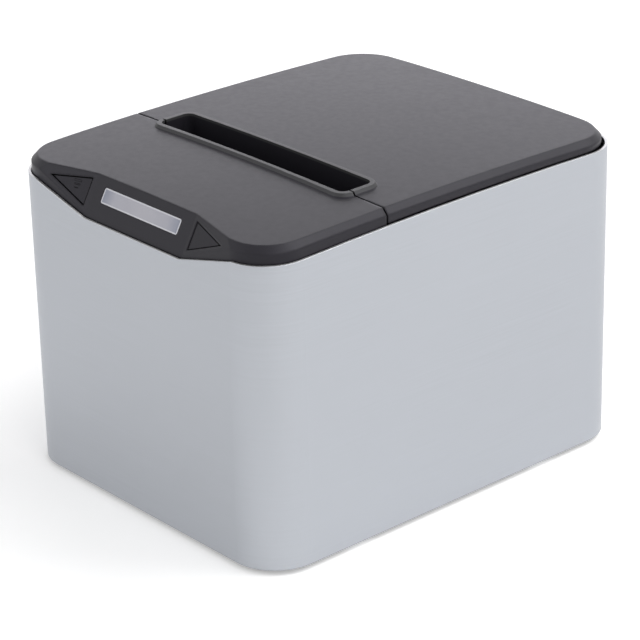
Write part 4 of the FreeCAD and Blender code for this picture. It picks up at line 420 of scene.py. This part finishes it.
finish = {
    "sleeve": ["metal_sleeve"],
    "lid": ["front_cover", "rear_cover"],
    "key": ["feed_button", "open_button"],
    "window": ["status_window"],
    "guide": ["light_guide"],
    "case": ["inner_case", "platen_carrier"],
    "inner": ["paper_bucket", "cutter_rack", "paper_end_sensor", "cover_sensor", "feed_switch"],
    "socket": ["dc_inlet", "drawer_socket", "power_switch_body", "power_rocker"],
    "feet": ["rubber_feet"],
    "platen": ["platen_roller"],
    "gear": ["platen_gear", "reduction_gear", "motor_pinion", "cutter_pinion"],
    "bush": ["platen_bushes"],
    "zinc": ["hinge_brackets", "left_side_plate", "right_side_plate", "head_bracket", "spring_bar",
             "cutter_deck", "latch_slider", "rear_plate"],
    "screw": ["case_screws", "front_cover_screws", "carrier_screws", "fixed_blade_screws",
              "chassis_screws", "board_screws", "latch_guides"],
    "shaft": ["hinge_pins", "platen_shaft", "gear_stud", "motor_shaft", "head_rod"],
    "upright": ["cutter_shaft"],
    "blade": ["fixed_blade", "cutter_blade"],
    "spring": ["head_springs", "latch_spring"],
    "tin": ["usb_socket", "lan_socket"],
    "can": ["feed_motor", "cutter_motor"],
    "sink": ["head_heat_sink"],
    "board": ["panel_board", "main_board"],
    "chip": ["board_chips"],
    "head": ["print_head"],
}
for look, names in finish.items():
    for name in names:
        nodes[name].data.materials.clear()
        nodes[name].data.materials.append(materials[look])


# Springs, which shorten between their two seats; each is only copied in place of the imported one

HEAD_SPRING_SEATS = ((0.0, -0.02769, 0.08556), (0.0, -0.0363, 0.08154))


def seated_spring(node, moving, start, end):
    """A copy of a spring put where the imported one stood, which is hidden; moving, start and end are not
    used.
    """
    piece = bpy.data.objects.new(node + "_coils", nodes[node].data.copy())
    scene.collection.objects.link(piece)
    piece.matrix_world = nodes[node].matrix_world.copy()
    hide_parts(node)
    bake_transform(piece)


seated_spring("head_springs", "head", *HEAD_SPRING_SEATS)
near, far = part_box("latch_spring")
seated_spring("latch_spring", "latch", (0.0, near.y, near.z), (0.0, far.y, near.z))


# Raised bars on the feed button: the middle one's size, their pitch and rounding, how many pitches the
# middle one stands uphill of the face's middle, and the share by which its neighbours differ in size

BAR = Vector((0.0028, 0.0006, 0.0002))
BAR_PITCH = 0.0013
BAR_ROUND = 0.00012
BAR_SHIFT = 0.6
BAR_GROWTH = 0.3


def feed_marks():
    """Three level bars, moulded on the button's face, each larger than the one below it."""
    middle, outward, uphill = widest_face("feed_button")
    turn = Matrix((uphill.cross(outward), uphill, outward)).transposed().to_4x4()
    mesh = bmesh.new()
    for step in (-1, 0, 1):
        place = Matrix.Translation(middle + uphill * (step + BAR_SHIFT) * BAR_PITCH) @ turn
        size = Matrix.Diagonal((*BAR * (1.0 + BAR_GROWTH * step), 1.0))
        bar = bmesh.ops.create_cube(mesh, size=1.0, matrix=place @ size)
        edges = {edge for corner in bar["verts"] for edge in corner.link_edges}
        bmesh.ops.bevel(mesh, geom=list(edges), offset=BAR_ROUND, segments=2, affect="EDGES")
    data = bpy.data.meshes.new("feed_marks")
    mesh.to_mesh(data)
    mesh.free()
    data.materials.append(materials["key"])
    piece = bpy.data.objects.new("feed_marks", data)
    scene.collection.objects.link(piece)
    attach(piece, "feed_key")


feed_marks()


# Stage and light

FLOOR_HALF = 6.0
FLOOR_GLOW = 0.34
SKY_LIGHT = 0.38
SKY_SEEN = 1.0


def directly_seen(tree):
    """1 for what is seen straight, mirrored or through a clear piece, 0 for what only gives light."""
    path = tree.nodes.new("ShaderNodeLightPath")
    seen = path.outputs["Is Camera Ray"]
    for ray in ("Is Glossy Ray", "Is Transmission Ray"):
        either = tree.nodes.new("ShaderNodeMath")
        either.operation = "MAXIMUM"
        tree.links.new(seen, either.inputs[0])
        tree.links.new(path.outputs[ray], either.inputs[1])
        seen = either.outputs[0]
    return seen


def stage_material(name):
    """White where it is seen directly or in a reflection, with the shadows kept."""
    surface = Surface(name, Roughness=0.9, Specular_IOR_Level=0.1, Emission_Color=(*WHITE, 1.0))
    surface.colour(surface.tones(surface.noise(scale=3.0), FLOOR_COLOUR, dark=0.99, pale=1.0))
    glow = surface.compute("MULTIPLY", directly_seen(surface.tree), FLOOR_GLOW)
    surface.feed(surface.shader.inputs["Emission Strength"], glow)
    return surface.material


def white_floor():
    mesh = bpy.data.meshes.new("floor")
    corners = [(x * FLOOR_HALF, y * FLOOR_HALF, 0.0) for x, y in ((-1, -1), (1, -1), (1, 1), (-1, 1))]
    mesh.from_pydata(corners, [], [(0, 1, 2, 3)])
    mesh.materials.append(stage_material("floor_white"))
    floor = bpy.data.objects.new("floor", mesh)
    scene.collection.objects.link(floor)


def studio_world():
    """A white background that gives less light than it shows."""
    world = bpy.data.worlds.new("studio")
    scene.world = world
    world.use_nodes = True
    sky = world.node_tree
    level = sky.nodes.new("ShaderNodeMapRange")
    level.inputs["To Min"].default_value = SKY_LIGHT
    level.inputs["To Max"].default_value = SKY_SEEN
    sky.links.new(directly_seen(sky), level.inputs["Value"])
    background = sky.nodes["Background"]
    background.inputs["Color"].default_value = (*WHITE, 1.0)
    sky.links.new(level.outputs["Result"], background.inputs["Strength"])


def softbox(name, place, aim, size, power, colour=WHITE):
    light = bpy.data.lights.new(name, "AREA")
    light.shape = "RECTANGLE"
    light.size, light.size_y = size
    light.energy = power
    light.color = colour
    lamp = bpy.data.objects.new(name, light)
    lamp.location = place
    lamp.rotation_euler = (Vector(aim) - Vector(place)).to_track_quat("-Z", "Y").to_euler()
    scene.collection.objects.link(lamp)


white_floor()
studio_world()
softbox("key", place=(1.4, -0.3, 1.1), aim=(0.0, 0.0, 0.06), size=(1.2, 1.2), power=8.5)
softbox("fill", place=(-0.7, -1.5, 0.9), aim=(0.0, 0.0, 0.06), size=(1.2, 1.0), power=4.5)
softbox("top", place=(0.5, 0.75, 1.3), aim=(0.0, 0.0, 0.1), size=(1.2, 1.2), power=16.0)
softbox("back", place=(-0.98, 1.0, 0.45), aim=(0.0, 0.05, 0.12), size=(1.4, 0.5), power=2.8,
        colour=(0.93, 0.9, 1.0))


# Camera

CAMERA_PLACE = (0.6872, -0.5960, 0.4501)
CAMERA_DEGREES = (66.253, 1.223, 48.600)
FOCAL_LENGTH_MM = 151.9
SENSOR_WIDTH_MM = 36.0
NEAREST_SEEN = 0.05

lens = bpy.data.cameras.new("camera")
lens.lens = FOCAL_LENGTH_MM
lens.sensor_width = SENSOR_WIDTH_MM
lens.clip_start = NEAREST_SEEN
camera = bpy.data.objects.new("camera", lens)
camera.location = CAMERA_PLACE
camera.rotation_euler = Euler([math.radians(angle) for angle in CAMERA_DEGREES])
scene.collection.objects.link(camera)
scene.camera = camera
